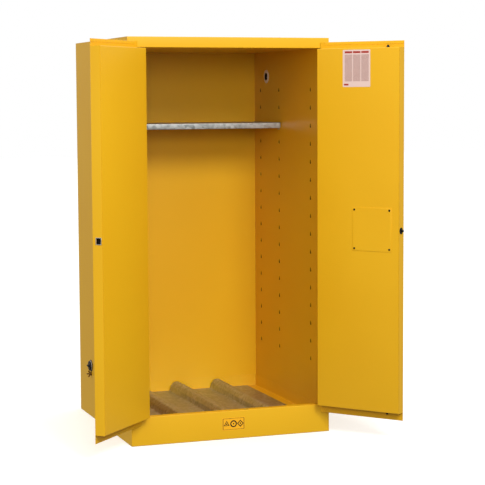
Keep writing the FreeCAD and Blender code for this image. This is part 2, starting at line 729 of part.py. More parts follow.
def latch_mounts():
    """What carries the latch inside the door: chassis, spacers, rod guides, bushes, springs."""
    chassis = block((36, 132), (ROD_Y + 14.5, ROD_Y + 16.1), (latch_z - 26, latch_z + 48))
    stud = rod("y", (rod_x, ROD_Y + 5.7, HUB_Z), 8.9, 4)
    node("latch_chassis", join(chassis, stud), swing(1))
    spacers = []
    for x, start in ((41, SKIN_BACK), (124, SKIN_BACK + 16)):
        for z in (latch_z - 20, latch_z + 42):
            spacers.append(rod("y", (x, start, z), ROD_Y + 14.5 - start, 3.5))
    node("latch_spacers", group(*spacers), swing(1))
    guides = []
    for level in (HUB_Z + 50, HUB_Z + 640, HUB_Z - 54, HUB_Z - 640):
        bracket = block((rod_x - 12, rod_x + 12), (ROD_Y - 9, PAN_FACE - gauge), (level, level + 4))
        guides.append(cut(bracket, rod("z", (rod_x, ROD_Y, level - 1), 6, rod_round + 0.2)))
    node("rod_guides", group(*guides), swing(1))
    bushes = []
    for flange, tube in ((PAN_HIGH, PAN_HIGH - 12), (PAN_LOW - 1.5, PAN_LOW)):
        body = join(rod("z", (rod_x, ROD_Y, flange), 1.5, 12), rod("z", (rod_x, ROD_Y, tube), 12, 7.9))
        bushes.append(cut(body, rod("z", (rod_x, ROD_Y, tube - 5), 25, bullet_round + 0.2)))
    side_flange = rod("x", (door_edge - 1.5, ROD_Y + 5, latch_z), 1.5, 13.5)
    side_tube = rod("x", (door_edge, ROD_Y + 5, latch_z), 12, 7.9)
    side_bore = rod("x", (door_edge - 5, ROD_Y + 5, latch_z), 25, bullet_round + 0.2)
    bushes.append(cut(join(side_flange, side_tube), side_bore))
    node("bullet_bushes", group(*bushes), swing(1))
    for name, level in (("upper", HUB_Z + 55), ("lower", HUB_Z - 89)):
        spring = doc.addObject("Part::Feature", "Spring")
        spring.Shape = coil(34, 6.3, 0.8, 7)
        at = Vector(rod_x.value, ROD_Y.value, level.value)
        spring.Placement = Placement(at, Rotation())
        node("latch_spring_" + name, group(spring), swing(1))


def coil(length, radius, wire, turns):
    """An open helical spring of round wire standing on the XY plane."""
    path = Part.makeHelix((length - 2 * wire) / turns, length - 2 * wire, radius)
    start = Part.Wire(Part.makeCircle(wire, Vector(radius, 0, 0), Vector(0, 1, 0)))
    pipe = Part.Wire(path).makePipeShell([start], True, True)
    pipe.translate(Vector(0, 0, wire))
    return pipe


# ---------------------------------------------------------------- paddle handle and lock
def handle():
    left, right = paddle_x - 10, paddle_x + 86
    low, high = latch_z - 50, latch_z + 50
    flange = block((left - 12, right + 12), (SKIN_FACE - 2.4, SKIN_FACE), (low - 12, high + 42))
    shell = block((left - 1.6, right + 1.6), (SKIN_FACE, SKIN_FACE + 16.6), (low - 1.6, high + 1.6))
    well = block((left, right), (SKIN_FACE - 5, SKIN_FACE + 15), (low, high))
    floor = (SKIN_FACE + 10, SKIN_FACE + 20)
    window = block((paddle_x - 9.5, paddle_x + 9.5), floor, (latch_z - 10, latch_z + 10))
    pivot_y = FRONT + paddle_in
    pin_hole = rod("z", (paddle_x, pivot_y, low - 5), high - low + 10, crank_pin + 0.02)
    lock_hole = rod("y", (paddle_x + 38, SKIN_FACE - 5, latch_z + 71), 10, 9 + CLEAR)
    node("handle_housing", cut(join(flange, shell), well, window, pin_hole, lock_hole), swing(1))
    pin = rod("z", (paddle_x, pivot_y, low - 1.6), high - low + 3.2, crank_pin)
    node("paddle_pin", group(pin), swing(1))

    barrel = rod("z", (paddle_x, pivot_y, low + 4), high - low - 8, 4.5)
    face = block((paddle_x, paddle_x + 80), (pivot_y - 4.5, pivot_y - 1.5), (low + 4, high - 4))
    grip = block((paddle_x + 76, paddle_x + 80), (pivot_y - 12, pivot_y - 1.5), (low + 4, high - 4))
    lever = block((-3.5, 3.5), (0, lever_arm), (latch_z - 6, latch_z + 6))
    tip = rod("z", (0, lever_arm, latch_z - 6), 12, 4)
    arm = join(lever, tip)
    arm.Placement = Placement(Vector(paddle_x.value, pivot_y.value, 0), Rotation(Vector(0, 0, 1), 15))
    bore = rod("z", (paddle_x, pivot_y, low), high - low, crank_pin + CLEAR)
    node("handle_paddle", cut(join(barrel, face, grip, arm), bore), swing(1))

    lock = (paddle_x + 38, SKIN_FACE - 4.5, latch_z + 71)
    barrel = cut(rod("y", lock, 26, 9), rod("y", (lock[0], lock[1] - 1, lock[2]), 30, 5.5 + CLEAR))
    node("lock_barrel", barrel, swing(1))
    plug = rod("y", (lock[0], lock[1] - 1, lock[2]), 29, 5.5)
    tail = block((lock[0] - 4, lock[0] + 22), (lock[1] + 26.2, lock[1] + 28), (lock[2] - 4, lock[2] + 4))
    key_high = (lock[2] - 3.6, lock[2] + 3.6)
    key_slot = block((lock[0] - 0.8, lock[0] + 0.8), (lock[1] - 3, lock[1] + 6), key_high)
    node("lock_plug", cut(join(plug, tail), key_slot), swing(1))


def door_fittings():
    half = panel_side / 2
    tall = (panel_z - half, panel_z + half)
    panel = block((panel_x - half, panel_x + half), (PAN_FACE, PAN_FACE + gauge), tall)
    reach = screw_pitch / 2
    places = [(panel_x + reach * i, panel_z + reach * j) for i in (-1, 1) for j in (-1, 1)]
    holes = [rod("y", (x, PAN_FACE - 1, z), 4, 2.2) for x, z in places]
    node("access_panel", cut(panel, *holes), swing(1))
    screws = []
    for x, z in places:
        head = taper("y", (x, PAN_FACE + gauge, z), 2.4, 4.4, 3.2)
        screws.append(join(head, rod("y", (x, PAN_FACE + 0.01, z), gauge, 2)))
    node("access_screws", group(*screws), swing(1))
    right = hinge_x - 130
    label = block((right - 125, right), (PAN_FACE, PAN_FACE + 0.3), (PAN_HIGH - 157, PAN_HIGH - 7))
    node("door_label", group(label), swing(1))


# ---------------------------------------------------------------- build, check and write
outer_side(-1, "outer_side_left", vent_low_y, vent_low_z)
outer_side(1, "outer_side_right", vent_high_y, vent_high_z)
sill()
header()
outer_sheets()
liner()
sump()
drum_support()
shelf()
shelf_clips()
vent(-1, "low", vent_low_y, vent_low_z)
vent(1, "high", vent_high_y, vent_high_z)
node("vent_nuts", group(*VENT_NUTS))
node("flame_screens", group(*FLAME_SCREENS))
earth_stud()
feet()
sill_label()
strike_plates()
hinges()
doors()
latch_rod("latch_rod_upper", True)
latch_rod("latch_rod_lower", False)
hub()
latch_bar()
latch_mounts()
handle()
door_fittings()
doc.recompute()

for thing in doc.Objects:
    if "Invalid" in thing.State or "Error" in thing.State:
        raise RuntimeError(thing.Label + " did not compute")
os.makedirs("parts", exist_ok=True)
for name, thing in NODES.items():
    shape = thing.Shape
    if shape.isNull() or not shape.isValid():
        raise RuntimeError(name + " is not a valid shape")
    shape.exportStep("parts/" + name + ".step")
    print(name, round(shape.Volume / 1000, 1), "cm3", len(shape.Solids))
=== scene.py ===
"""Two-door flammable storage cabinet for one upright drum, shown with both doors open.

Metres, +Z up, +X to the right of a person facing the doors, +Y into the cabinet.
"""
import json
import math

import bmesh
import bpy
from mathutils import Matrix, Vector


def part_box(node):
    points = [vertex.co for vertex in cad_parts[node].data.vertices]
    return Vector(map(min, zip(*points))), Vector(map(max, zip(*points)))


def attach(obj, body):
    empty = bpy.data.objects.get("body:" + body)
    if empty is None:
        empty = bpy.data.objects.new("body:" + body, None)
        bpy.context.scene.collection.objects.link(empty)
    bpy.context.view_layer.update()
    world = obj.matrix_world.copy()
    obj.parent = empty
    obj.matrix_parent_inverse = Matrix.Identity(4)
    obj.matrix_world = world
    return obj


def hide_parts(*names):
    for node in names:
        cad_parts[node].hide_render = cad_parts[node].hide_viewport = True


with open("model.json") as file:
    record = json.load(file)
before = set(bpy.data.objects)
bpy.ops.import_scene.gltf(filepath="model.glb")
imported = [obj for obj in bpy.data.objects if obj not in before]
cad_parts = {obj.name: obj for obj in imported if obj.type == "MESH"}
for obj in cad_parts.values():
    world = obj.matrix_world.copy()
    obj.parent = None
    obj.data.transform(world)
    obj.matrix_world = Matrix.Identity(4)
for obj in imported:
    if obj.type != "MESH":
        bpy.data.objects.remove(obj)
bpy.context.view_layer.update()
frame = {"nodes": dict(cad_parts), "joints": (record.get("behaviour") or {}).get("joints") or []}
MM = 0.001

# ---- Side sheets --------------------------------------------------------------------------
# Each side is one 18 gauge steel sheet, folded at the front into a stile and folded again
# into the doorway. It is cut away above and below the doorway, and a vent passes through it.
side_low, side_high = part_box("outer_side_right")
sill_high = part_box("sill")[1]
header_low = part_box("header")[0]
back_low, back_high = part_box("outer_back")
gauge = back_high.y - back_low.y
bend = 2.2 * MM
front = side_low.y
lip = sill_high.y - front
doorway = (sill_high.z, header_low.z)


def linear(shade):
    """A linear colour from an sRGB hex value."""
    parts = [int(shade[i:i + 2], 16) / 255 for i in (0, 2, 4)]
    return [c / 12.92 if c <= 0.04045 else ((c + 0.055) / 1.055) ** 2.4 for c in parts] + [1]


def add_node(tree, kind, links=None, **settings):
    """A node with its settings; links gives an input a socket or a plain value."""
    made = tree.nodes.new(kind)
    for key, value in settings.items():
        setattr(made, key, value)
    for socket, source in (links or {}).items():
        if isinstance(source, bpy.types.NodeSocket):
            tree.links.new(source, made.inputs[socket])
        else:
            made.inputs[socket].default_value = source
    return made


def new_finish(name, shade, **sockets):
    """A material with its shader's uniform values set on the shader itself."""
    finish = bpy.data.materials.new(name)
    finish.use_nodes = True
    finish.node_tree.nodes.clear()
    finish.diffuse_color = linear(shade)
    values = {key.replace("_", " "): value for key, value in sockets.items()}
    shader = add_node(finish.node_tree, "ShaderNodeBsdfPrincipled", {"Base Color": linear(shade), **values})
    add_node(finish.node_tree, "ShaderNodeOutputMaterial", {"Surface": shader.outputs[0]})
    return finish, finish.node_tree, shader


def patchy_gloss(tree, shader, across, detail, dull_range):
    """Patches of a real width, which vary the gloss. Gives back their pattern."""
    spot = add_node(tree, "ShaderNodeTexCoord").outputs["Object"]
    patches = add_node(tree, "ShaderNodeTexNoise", {"Vector": spot, "Scale": 1 / across, "Detail": detail})
    gloss = add_node(tree, "ShaderNodeMapRange", {
        "Value": patches.outputs["Fac"], "To Min": dull_range[0], "To Max": dull_range[1]})
    tree.links.new(gloss.outputs[0], shader.inputs["Roughness"])
    return patches.outputs["Fac"]


def two_tones(tree, shader, pattern, *shades):
    """The base colour runs from one shade to the other with the pattern."""
    tone = add_node(tree, "ShaderNodeValToRGB", {"Fac": pattern})
    for stop, shade in zip(tone.color_ramp.elements, shades):
        stop.color = linear(shade)
    tree.links.new(tone.outputs[0], shader.inputs["Base Color"])


def powder_coat():
    """Polyester powder sprayed on and baked: semi-gloss, with orange peel about 3 mm across
    and the slow waves of a thin sheet. The real peel is finer, and is drawn a little coarse."""
    finish, tree, shader = new_finish("yellow_semi_gloss_powder_coat", "E6AF19", Roughness=0.4,
                                        Specular_IOR_Level=0.35)
    spot = add_node(tree, "ShaderNodeTexCoord").outputs["Object"]
    waves = add_node(tree, "ShaderNodeTexNoise", {"Vector": spot, "Scale": 1 / (350 * MM), "Detail": 1.0})
    peel = patchy_gloss(tree, shader, 3 * MM, 2.0, (0.31, 0.42))
    two_tones(tree, shader, waves.outputs["Fac"], "E4AB17", "E9B41B")
    sag = add_node(tree, "ShaderNodeBump", {
        "Height": waves.outputs["Fac"], "Strength": 0.35, "Distance": 2.5 * MM})
    skin = add_node(tree, "ShaderNodeBump", {
        "Height": peel, "Strength": 0.25, "Distance": 0.06 * MM, "Normal": sag.outputs[0]})
    tree.links.new(skin.outputs[0], shader.inputs["Normal"])
    return finish


def cavity_painted_shade():
    """Painted shade: a matt dark brown with soft patches of gloss, for the faces inside the walls, standing
    for the shade in the hollow between the sheets.
    """
    finish, tree, shader = new_finish("dark_brown_painted_shade", "33200F", Roughness=0.8)
    patchy_gloss(tree, shader, 20 * MM, 2.0, (0.7, 0.9))
    return finish


yellow = powder_coat()
cavity_shade_finish = cavity_painted_shade()


def bend_line(corners, radius, steps=6):
    """The line through the corners, with each fold rounded to a radius or to one of a list."""
    corners = [Vector(c) for c in corners]
    radii = radius if isinstance(radius, list) else [radius] * (len(corners) - 2)
    line = [corners[0]]
    for before, corner, after, r in zip(corners, corners[1:], corners[2:], radii):
        a, b = (before - corner).normalized(), (after - corner).normalized()
        half = a.angle(b) / 2
        middle = corner + (a + b).normalized() * r / math.sin(half)
        first = corner + a * r / math.tan(half) - middle
        turn = first.angle_signed(corner + b * r / math.tan(half) - middle)
        line += [middle + Matrix.Rotation(-turn * k / steps, 2) @ first for k in range(steps + 1)]
    return line + [corners[-1]]


def sheet_metal(corners, radius, run, axes, thick, lay=1):
    """A folded sheet. Its face follows the corners in a plane, its thickness lies to the left
    of that line (lay 1) or right (-1), and it runs along the third axis."""
    face = bend_line(corners, radius)
    inside = []
    for index, point in enumerate(face):
        ahead = face[min(index + 1, len(face) - 1)] - face[max(index - 1, 0)]
        ahead.normalize()
        inside.append(point + Vector((-ahead.y, ahead.x)) * thick * lay)
    section = face + inside[::-1]
    solid = bmesh.new()
    ends = []
    for along in run:
        ends.append([])
        for point in section:
            spot = Vector((0, 0, 0))
            for value, axis in zip((point.x, point.y, along), axes):
                spot["XYZ".index(axis)] = value
            ends[-1].append(solid.verts.new(spot))
        solid.faces.new(ends[-1])
    for index in range(len(section)):
        after = (index + 1) % len(section)
        solid.faces.new((ends[0][index], ends[0][after], ends[1][after], ends[1][index]))
    return tidy(solid)


def tidy(solid):
    """The solid with its doubles merged and its faces turned outwards."""
    bmesh.ops.remove_doubles(solid, verts=solid.verts, dist=1e-6)
    bmesh.ops.recalc_face_normals(solid, faces=solid.faces)
    return solid


def slab(low, high):
    """A plain block, for cutting with or for softening."""
    solid = bmesh.new()
    bmesh.ops.create_cube(solid, size=1)
    low, high = Vector(low), Vector(high)
    size = Matrix.Diagonal([*(high - low), 1])
    solid.transform(Matrix.Translation((low + high) / 2) @ size)
    return solid


def soft_slab(low, high, radius, segments=2):
    """A block with every edge rounded."""
    solid = slab(low, high)
    bmesh.ops.bevel(solid, geom=solid.edges[:], offset=radius, segments=segments, profile=0.5, affect="EDGES")
    return solid


def turn_to(axis):
    """The turn that takes +Z to an axis of the frame, such as -X."""
    way = Vector([(1 if axis[0] == "+" else -1) * (letter == axis[1]) for letter in "XYZ"])
    return way.to_track_quat("Z", "Y").to_matrix().to_4x4()


def round_bar(start, axis, length, radius, sides=48):
    """A round bar from its start along an axis of the frame, also used to drill with."""
    solid = bmesh.new()
    bmesh.ops.create_cone(solid, cap_ends=True, segments=sides, radius1=radius, radius2=radius, depth=length)
    solid.transform(Matrix.Translation(start) @ turn_to(axis) @ Matrix.Translation((0, 0, length / 2)))
    return solid


def scratch(solid, name="scratch"):
    """A short-lived object with the solid's mesh, for modifiers to work on."""
    mesh = bpy.data.meshes.new(name)
    solid.to_mesh(mesh)
    solid.free()
    made = bpy.data.objects.new(name, mesh)
    bpy.context.scene.collection.objects.link(made)
    return made


def worked(made, *others):
    """The scratch object's mesh with its modifiers applied. The objects are then removed."""
    bpy.context.view_layer.update()
    mesh = bpy.data.meshes.new_from_object(made.evaluated_get(bpy.context.evaluated_depsgraph_get()))
    solid = bmesh.new()
    solid.from_mesh(mesh)
    for thing in (made, *others):
        bpy.data.objects.remove(thing)
    return solid


def cut_out(solid, *tools):
    """The solid without the tools' shapes."""
    made = scratch(solid)
    cutters = [scratch(tool) for tool in tools]
    for cutter in cutters:
        step = made.modifiers.new("cut", "BOOLEAN")
        step.object = cutter
        step.solver = "EXACT"
    return worked(made, *cutters)


def merged(*solids):
    """Several closed solids as one mesh."""
    whole = bmesh.new()
    for solid in solids:
        part = bpy.data.meshes.new("part")
        solid.to_mesh(part)
        solid.free()
        whole.from_mesh(part)
    return whole


def piece(name, solid, finish, body, nodes=(), smooth=35):
    """Makes the solid a piece that rides on a body and stands for CAD nodes."""
    mesh = bpy.data.meshes.new(name)
    solid.to_mesh(mesh)
    solid.free()
    mesh.materials.clear()
    mesh.materials.append(finish)
    for face in mesh.polygons:
        face.material_index = 0
    mesh.shade_smooth()
    mesh.set_sharp_from_angle(angle=math.radians(smooth))
    made = bpy.data.objects.new(name, mesh)
    bpy.context.scene.collection.objects.link(made)
    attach(made, body)
    if nodes:
        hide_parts(*nodes)
    return made


def yellow_piece(name, solid, body, *nodes):
    """A piece in the cabinet's own coat."""
    return piece(name, solid, yellow, body, nodes)


def middle_of(node):
    low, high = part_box(node)
    return (low + high) / 2


def repaint(made, finish, inside):
    """Gives the faces of a piece whose centre passes the test a second finish."""
    made.data.materials.append(finish)
    for face in made.data.polygons:
        if inside(face.center):
            face.material_index = 1


words = {-1: "left", 1: "right"}
spare = 10 * MM  # how far a cutter stands clear of what it cuts
vent_hole_round = 22.1 * MM
for side, word in words.items():
    corners = [(side_high.x, side_high.y), (side_high.x, front), (side_low.x, front),
               (side_low.x, front + lip)]
    corners = [(x * side, y) for x, y in corners]
    panel = sheet_metal(corners, bend, (side_low.z, side_high.z), "XYZ", gauge, lay=-side)
    across = sorted((side * (side_low.x - spare), side * (side_high.x - bend)))
    cutters = [slab((across[0], front - spare, low), (across[1], front + lip + spare, high))
               for low, high in ((side_low.z - spare, doorway[0]), (doorway[1], side_high.z + spare))]
    vent = middle_of("vent_collar_" + ("low" if side < 0 else "high"))
    cutters.append(round_bar((side * (side_high.x + spare), vent.y, vent.z), "-X" if side > 0 else "+X",
                             2 * spare, vent_hole_round))
    made = yellow_piece("side_sheet_" + word, cut_out(panel, *cutters), "cabinet", "outer_side_" + word)
    # Painted shade: the faces inside the wall, in its hollow and on the fold into the doorway, take the dark
    # brown finish.
    repaint(made, cavity_shade_finish, lambda c: abs(c.x) < side_high.x - gauge / 2 and c.y > front + gauge / 2)

# ---- Top and bottom sheets ----------------------------------------------------------------
# The top is one sheet folded down in front as the strip above the doors, and back again as a
# lip. The bottom is folded up in front as the sill in the same way. Both lips have a slot for
# the latch, and the bottom has a hole over each levelling foot.
rod_place = middle_of("strike_plates")
slot_half = Vector((13.5 * MM, 7 * MM, 3 * MM))
foot_hole_round = 23 * MM
foot_names = ["foot_" + end + "_" + word for end in ("front", "back") for word in words.values()]


def latch_slot(z):
    place = Vector((rod_place.x, rod_place.y, z))
    return slab(place - slot_half, place + slot_half)


sheet_run = (gauge - side_high.x, side_high.x - gauge)
top = sheet_metal([(front + lip, doorway[1]), (front, doorway[1]), (front, side_high.z),
                   (back_low.y, side_high.z)], bend, sheet_run, "YZX", gauge, lay=-1)
yellow_piece("top_sheet", cut_out(top, latch_slot(doorway[1] + gauge / 2)), "cabinet", "header", "outer_top")
bottom = sheet_metal([(front + lip, doorway[0]), (front, doorway[0]), (front, 0), (back_low.y, 0)],
                     bend, sheet_run, "YZX", gauge)
foot_places = [middle_of(name) for name in foot_names]
foot_holes = [round_bar((p.x, p.y, -spare), "+Z", 2 * spare, foot_hole_round) for p in foot_places]
yellow_piece("bottom_sheet", cut_out(bottom, latch_slot(doorway[0] - gauge / 2), *foot_holes), "cabinet",
             "sill", "outer_bottom")

# ---- Liner and back -----------------------------------------------------------------------
# The liner is a second box of the same coated sheet, spot welded inside the outer one. Its
# sides have three columns of keyhole slots for the shelf clips. These sheets stay as drawn.


def coat_as_drawn(finish, *nodes):
    """Gives CAD nodes their finish and leaves their shape alone."""
    for node in nodes:
        mesh = frame["nodes"][node].data
        mesh.materials.clear()
        mesh.materials.append(finish)


coat_as_drawn(yellow, "outer_back", "inner_back", "inner_top", "inner_side_left", "inner_side_right")

# ---- Sump ---------------------------------------------------------------------------------
# A leak-tight tray of the coated sheet, folded up on four sides with welded corners, which
# holds a spill under the drum.


def tray(low, high, open_faces, radius, thick):
    """A box without its open faces, such as +Z, with rounded folds and one sheet thick."""
    solid = slab(low, high)
    ways = [turn_to(name) @ Vector((0, 0, 1)) for name in open_faces]
    solid.normal_update()
    gone = [f for f in solid.faces if any(f.normal.dot(way) > 0.9 for way in ways)]
    keep = [e for e in solid.edges if not any(f in gone for f in e.link_faces)]
    bmesh.ops.bevel(solid, geom=keep, offset=radius, segments=5, profile=0.5, affect="EDGES")
    solid.normal_update()
    gone = [f for f in solid.faces if any(f.normal.dot(way) > 0.999 for way in ways)]
    bmesh.ops.delete(solid, geom=gone, context="FACES")
    bmesh.ops.recalc_face_normals(solid, faces=solid.faces)
    bmesh.ops.solidify(solid, geom=solid.faces[:], thickness=thick)
    return tidy(solid)


sump_fold = 5 * MM
yellow_piece("sump_tray", tray(*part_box("sump_pan"), ["+Z"], sump_fold, gauge), "cabinet", "sump_pan")

# ---- Drum support -------------------------------------------------------------------------
# A 2 mm galvanised plate that lies over the sump. Three ridges are pressed in it, each with a
# rounded steep side and a long slope, so a drum is held up and a spill runs off.
support_low, support_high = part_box("drum_support")
support_thick = 2 * MM
ridge_rise = support_high.z - support_low.z - support_thick
ridge_pitch = 196 * MM
slope = 79 * MM


def galvanised():
    """Hot-dip galvanised sheet: dull grey zinc with frost-like spangles 6 to 20 mm across."""
    finish, tree, shader = new_finish("galvanised_sheet", "B4B7B4", Metallic=1.0, Roughness=0.42)
    spot = add_node(tree, "ShaderNodeTexCoord").outputs["Object"]
    drift = add_node(tree, "ShaderNodeTexNoise", {"Vector": spot, "Scale": 1 / (9 * MM), "Detail": 2.0})
    bent = add_node(tree, "ShaderNodeMix", {0: 6 * MM, 4: spot, 5: drift.outputs["Color"]},
                    data_type="VECTOR")
    spangle = add_node(tree, "ShaderNodeTexVoronoi", {"Vector": bent.outputs[1], "Scale": 1 / (13 * MM)})
    grain = add_node(tree, "ShaderNodeRGBToBW", {"Color": spangle.outputs["Color"]})
    two_tones(tree, shader, grain.outputs[0], "8F9390", "C6C8C4")
    gloss = add_node(tree, "ShaderNodeMapRange", {"Value": grain.outputs[0], "To Min": 0.34, "To Max": 0.56})
    frost = add_node(tree, "ShaderNodeBump", {
        "Height": grain.outputs[0], "Strength": 0.3, "Distance": 0.1 * MM})
    tree.links.new(gloss.outputs[0], shader.inputs["Roughness"])
    tree.links.new(frost.outputs[0], shader.inputs["Normal"])
    return finish


zinc_spangle = galvanised()
corners = [(support_low.x, 0)]  # the plate's upper face as (across, up), left to right
radii = []
for crest in (-ridge_pitch, 0, ridge_pitch):
    corners += [(crest - 34 * MM, 0), (crest - 28 * MM, 22 * MM), (crest - 13 * MM, ridge_rise - 2 * MM),
                (crest + 6 * MM, ridge_rise - 0.5 * MM), (crest + slope, 0)]
    radii += [4 * MM, 16 * MM, 14 * MM, 10 * MM, 25 * MM]
corners = [(x, z + support_low.z + support_thick) for x, z in corners + [(support_high.x, 0)]]
plate = sheet_metal([(z, x) for x, z in corners], radii, (support_low.y, support_high.y), "ZXY",
                    support_thick)
piece("ridged_plate", plate, zinc_spangle, "cabinet", ["drum_support"], smooth=50)

# ---- Shelf --------------------------------------------------------------------------------
# A half-depth shelf of the same galvanised sheet. Its front is folded down and back into a
# stiff lip, and its back and ends are folded down. Four hooked clips carry it.
shelf_low, shelf_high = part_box("shelf")
shelf_skirt = shelf_high.z - 20 * MM
lip_back = shelf_low.y + 12 * MM
weld_gap = 0.01 * MM
deck = sheet_metal([(lip_back, shelf_low.z), (shelf_low.y, shelf_low.z), (shelf_low.y, shelf_high.z),
                    (shelf_high.y, shelf_high.z), (shelf_high.y, shelf_skirt)],
                   bend, (shelf_low.x + bend, shelf_high.x - bend), "YZX", gauge, lay=-1)
ends = []
for side in (-1, 1):
    line = [(shelf_skirt, side * shelf_high.x), (shelf_high.z, side * shelf_high.x),
            (shelf_high.z, side * (shelf_high.x - bend - weld_gap))]
    ends.append(sheet_metal(line, bend * 0.99, (shelf_low.y + bend, shelf_high.y - bend), "ZXY", gauge,
                            lay=side))
piece("shelf_deck", merged(deck, *ends), zinc_spangle, "cabinet", ["shelf"])


def copy_of(node, width, segments=2, sharp=30):
    """The CAD node's own shape, merged, with its sharp edges broken to a small width."""
    solid = bmesh.new()
    solid.from_mesh(frame["nodes"][node].data)
    bmesh.ops.remove_doubles(solid, verts=solid.verts, dist=2e-6)
    bmesh.ops.dissolve_limit(solid, angle_limit=math.radians(1), verts=solid.verts, edges=solid.edges)
    solid.normal_update()
    edges = [e for e in solid.edges if e.is_manifold and e.calc_face_angle() > math.radians(sharp)]
    bmesh.ops.bevel(solid, geom=edges, offset=width, segments=segments, profile=0.5,
                    affect="EDGES", clamp_overlap=True)
    return tidy(solid)


def zinc_plate():
    """Bright zinc electroplate over steel: slightly blue, with clouds about 6 mm across."""
    finish, tree, shader = new_finish("bright_zinc_plate", "BFC3C8", Metallic=1.0, Roughness=0.28)
    cloud = patchy_gloss(tree, shader, 6 * MM, 3.0, (0.2, 0.38))
    two_tones(tree, shader, cloud, "B2B6BC", "CDD0D2")
    return finish


zinc = zinc_plate()
piece("shelf_hooks", copy_of("shelf_clips", 0.3 * MM), zinc, "cabinet", ["shelf_clips"])

# ---- Doors --------------------------------------------------------------------------------
# Each door is a hollow box 43 mm thick: an outer sheet that laps over the frame and is folded
# back at the free edge, and an inner tray that closes it. They are drawn shut and then swung
# open about the hinge pin to where the frame holds them.
hem = 12 * MM
tray_fold = 3 * MM
seam = 0.7 * MM
strike_half = Vector((spare, 9.5 * MM, 11 * MM))
dish_rim, dish_high = 10 * MM, 114 * MM
lock_hole_round, bar_hole_round, rod_hole_round = 9.3 * MM, 8 * MM, 8 * MM
panel_overlap = 20 * MM


def swing(side):
    """The move that takes a door from shut to where it stands."""
    joint = next(j for j in frame["joints"] if j["name"] == words[side] + "_door_swing")
    opened = -joint["range_deg"][0 if side > 0 else 1]
    pin = Matrix.Translation(joint["pos_m"])
    return pin @ Matrix.Rotation(math.radians(opened), 4, "Z") @ pin.inverted()


def shut_box(side, node):
    """A door node's lowest and highest corners with the door shut."""
    back = swing(side).inverted()
    points = [back @ v.co for v in frame["nodes"][node].data.vertices]
    return [Vector([pick(p[axis] for p in points) for axis in range(3)]) for pick in (min, max)]


def hang(side, solid):
    """Swings a solid that was made on the shut door to where the door stands."""
    solid.transform(swing(side))
    return solid


for side, word in words.items():
    skin_low, skin_high = shut_box(side, "door_skin_" + word)
    pan_low, pan_high = shut_box(side, "door_pan_" + word)
    free, hinged = sorted((skin_low.x, skin_high.x), key=abs)
    skin = sheet_metal([(hinged, skin_low.y), (free, skin_low.y), (free, skin_high.y - seam)],
                       bend, (skin_low.z, skin_high.z), "XYZ", gauge, lay=-side)
    cutters = [slab((free - spare, skin_low.y + bend, low), (free + spare, skin_high.y + spare, high))
               for low, high in ((skin_low.z - spare, pan_low.z), (pan_high.z, skin_high.z + spare))]
    if side < 0:
        strike_low, strike_high = shut_box(side, "strike_frame_left")
        middle = (strike_low + strike_high) / 2
        cutters.append(slab(middle - strike_half, middle + strike_half))
    else:
        shell_low, shell_high = shut_box(side, "handle_housing")
        barrel_low, barrel_high = shut_box(side, "lock_barrel")
        lock = (barrel_low + barrel_high) / 2
        bar_low, bar_high = shut_box(side, "latch_bar")
        bullet = Vector((free - spare, rod_place.y + 5 * MM, (bar_low.z + bar_high.z) / 2))
        cutters.append(slab((shell_low.x + dish_rim, skin_low.y - spare, shell_low.z + dish_rim),
                            (shell_high.x - dish_rim, skin_low.y + spare, shell_low.z + dish_high)))
        cutters.append(round_bar((lock.x, skin_low.y - spare, lock.z), "+Y", 2 * spare, lock_hole_round))
        cutters.append(round_bar(bullet, "+X", 2 * spare, bar_hole_round))
    hems = []
    for edge, inner in ((skin_low.z, skin_low.z + hem), (skin_high.z, skin_high.z - hem)):
        run = sorted((free + side * bend, hinged - side * 20 * MM))
        low = Vector((run[0], skin_low.y + gauge, min(edge, inner)))
        high = Vector((run[1], skin_low.y + 2 * gauge, max(edge, inner)))
        folded = slab(low, high)
        rims = [e for e in folded.edges
                if all(abs(v.co.z - edge) < 1e-6 and abs(v.co.y - high.y) < 1e-6 for v in e.verts)]
        bmesh.ops.bevel(folded, geom=rims, offset=gauge * 0.9, segments=4, profile=0.5, affect="EDGES")
        hems.append(folded)
    skin = merged(cut_out(skin, *cutters), *hems)
    yellow_piece("door_face_" + word, hang(side, skin), word + "_door", "door_skin_" + word)

    pan_free = free + side * (gauge + 0.5 * MM)
    pan_far = sorted((pan_low.x, pan_high.x), key=abs)[1]
    across = sorted((pan_free, pan_far))
    box_low = Vector((across[0], skin_low.y + gauge + 0.2 * MM, pan_low.z))
    box_high = Vector((across[1], pan_high.y, pan_high.z))
    inner = tray(box_low, box_high, ["-Y", "-X" if side > 0 else "+X"], tray_fold, gauge)
    if side > 0:
        rod_at = Vector((rod_place.x, rod_place.y, pan_low.z - spare))
        panel_low, panel_high = shut_box(side, "access_panel")
        inset = Vector((panel_overlap, -spare, panel_overlap))
        inner = cut_out(inner, round_bar(rod_at, "+Z", pan_high.z - pan_low.z + 2 * spare, rod_hole_round),
                        slab(panel_low + inset, panel_high - inset))
    yellow_piece("door_tray_" + word, hang(side, inner), word + "_door", "door_pan_" + word)

# ---- Hinges -------------------------------------------------------------------------------
# Piano hinges of coated steel strip. Every second knuckle is rolled from the frame's leaf and
# the others from the door's leaf, and one long pin holds them.
knuckles = 14
knuckle_gap = 0.4 * MM
knuckle_round, knuckle_bore, pin_round = 3 * MM, 1.6 * MM, 1.5 * MM
strip_start = 4.2 * MM  # from the pin to the flat strip
tongue_reach = (1.9 * MM, 5 * MM)  # from the pin, between the knuckle's wall and the strip


def new_tree(name, *inputs):
    """A Geometry Nodes tree with a geometry in and out, these inputs, and a finish."""
    tree = bpy.data.node_groups.new(name, "GeometryNodeTree")
    for label, kind in (("Geometry", "Geometry"), *inputs, ("Finish", "Material")):
        tree.interface.new_socket(label, in_out="INPUT", socket_type="NodeSocket" + kind)
    tree.interface.new_socket("Geometry", in_out="OUTPUT", socket_type="NodeSocketGeometry")
    return tree, add_node(tree, "NodeGroupInput").outputs


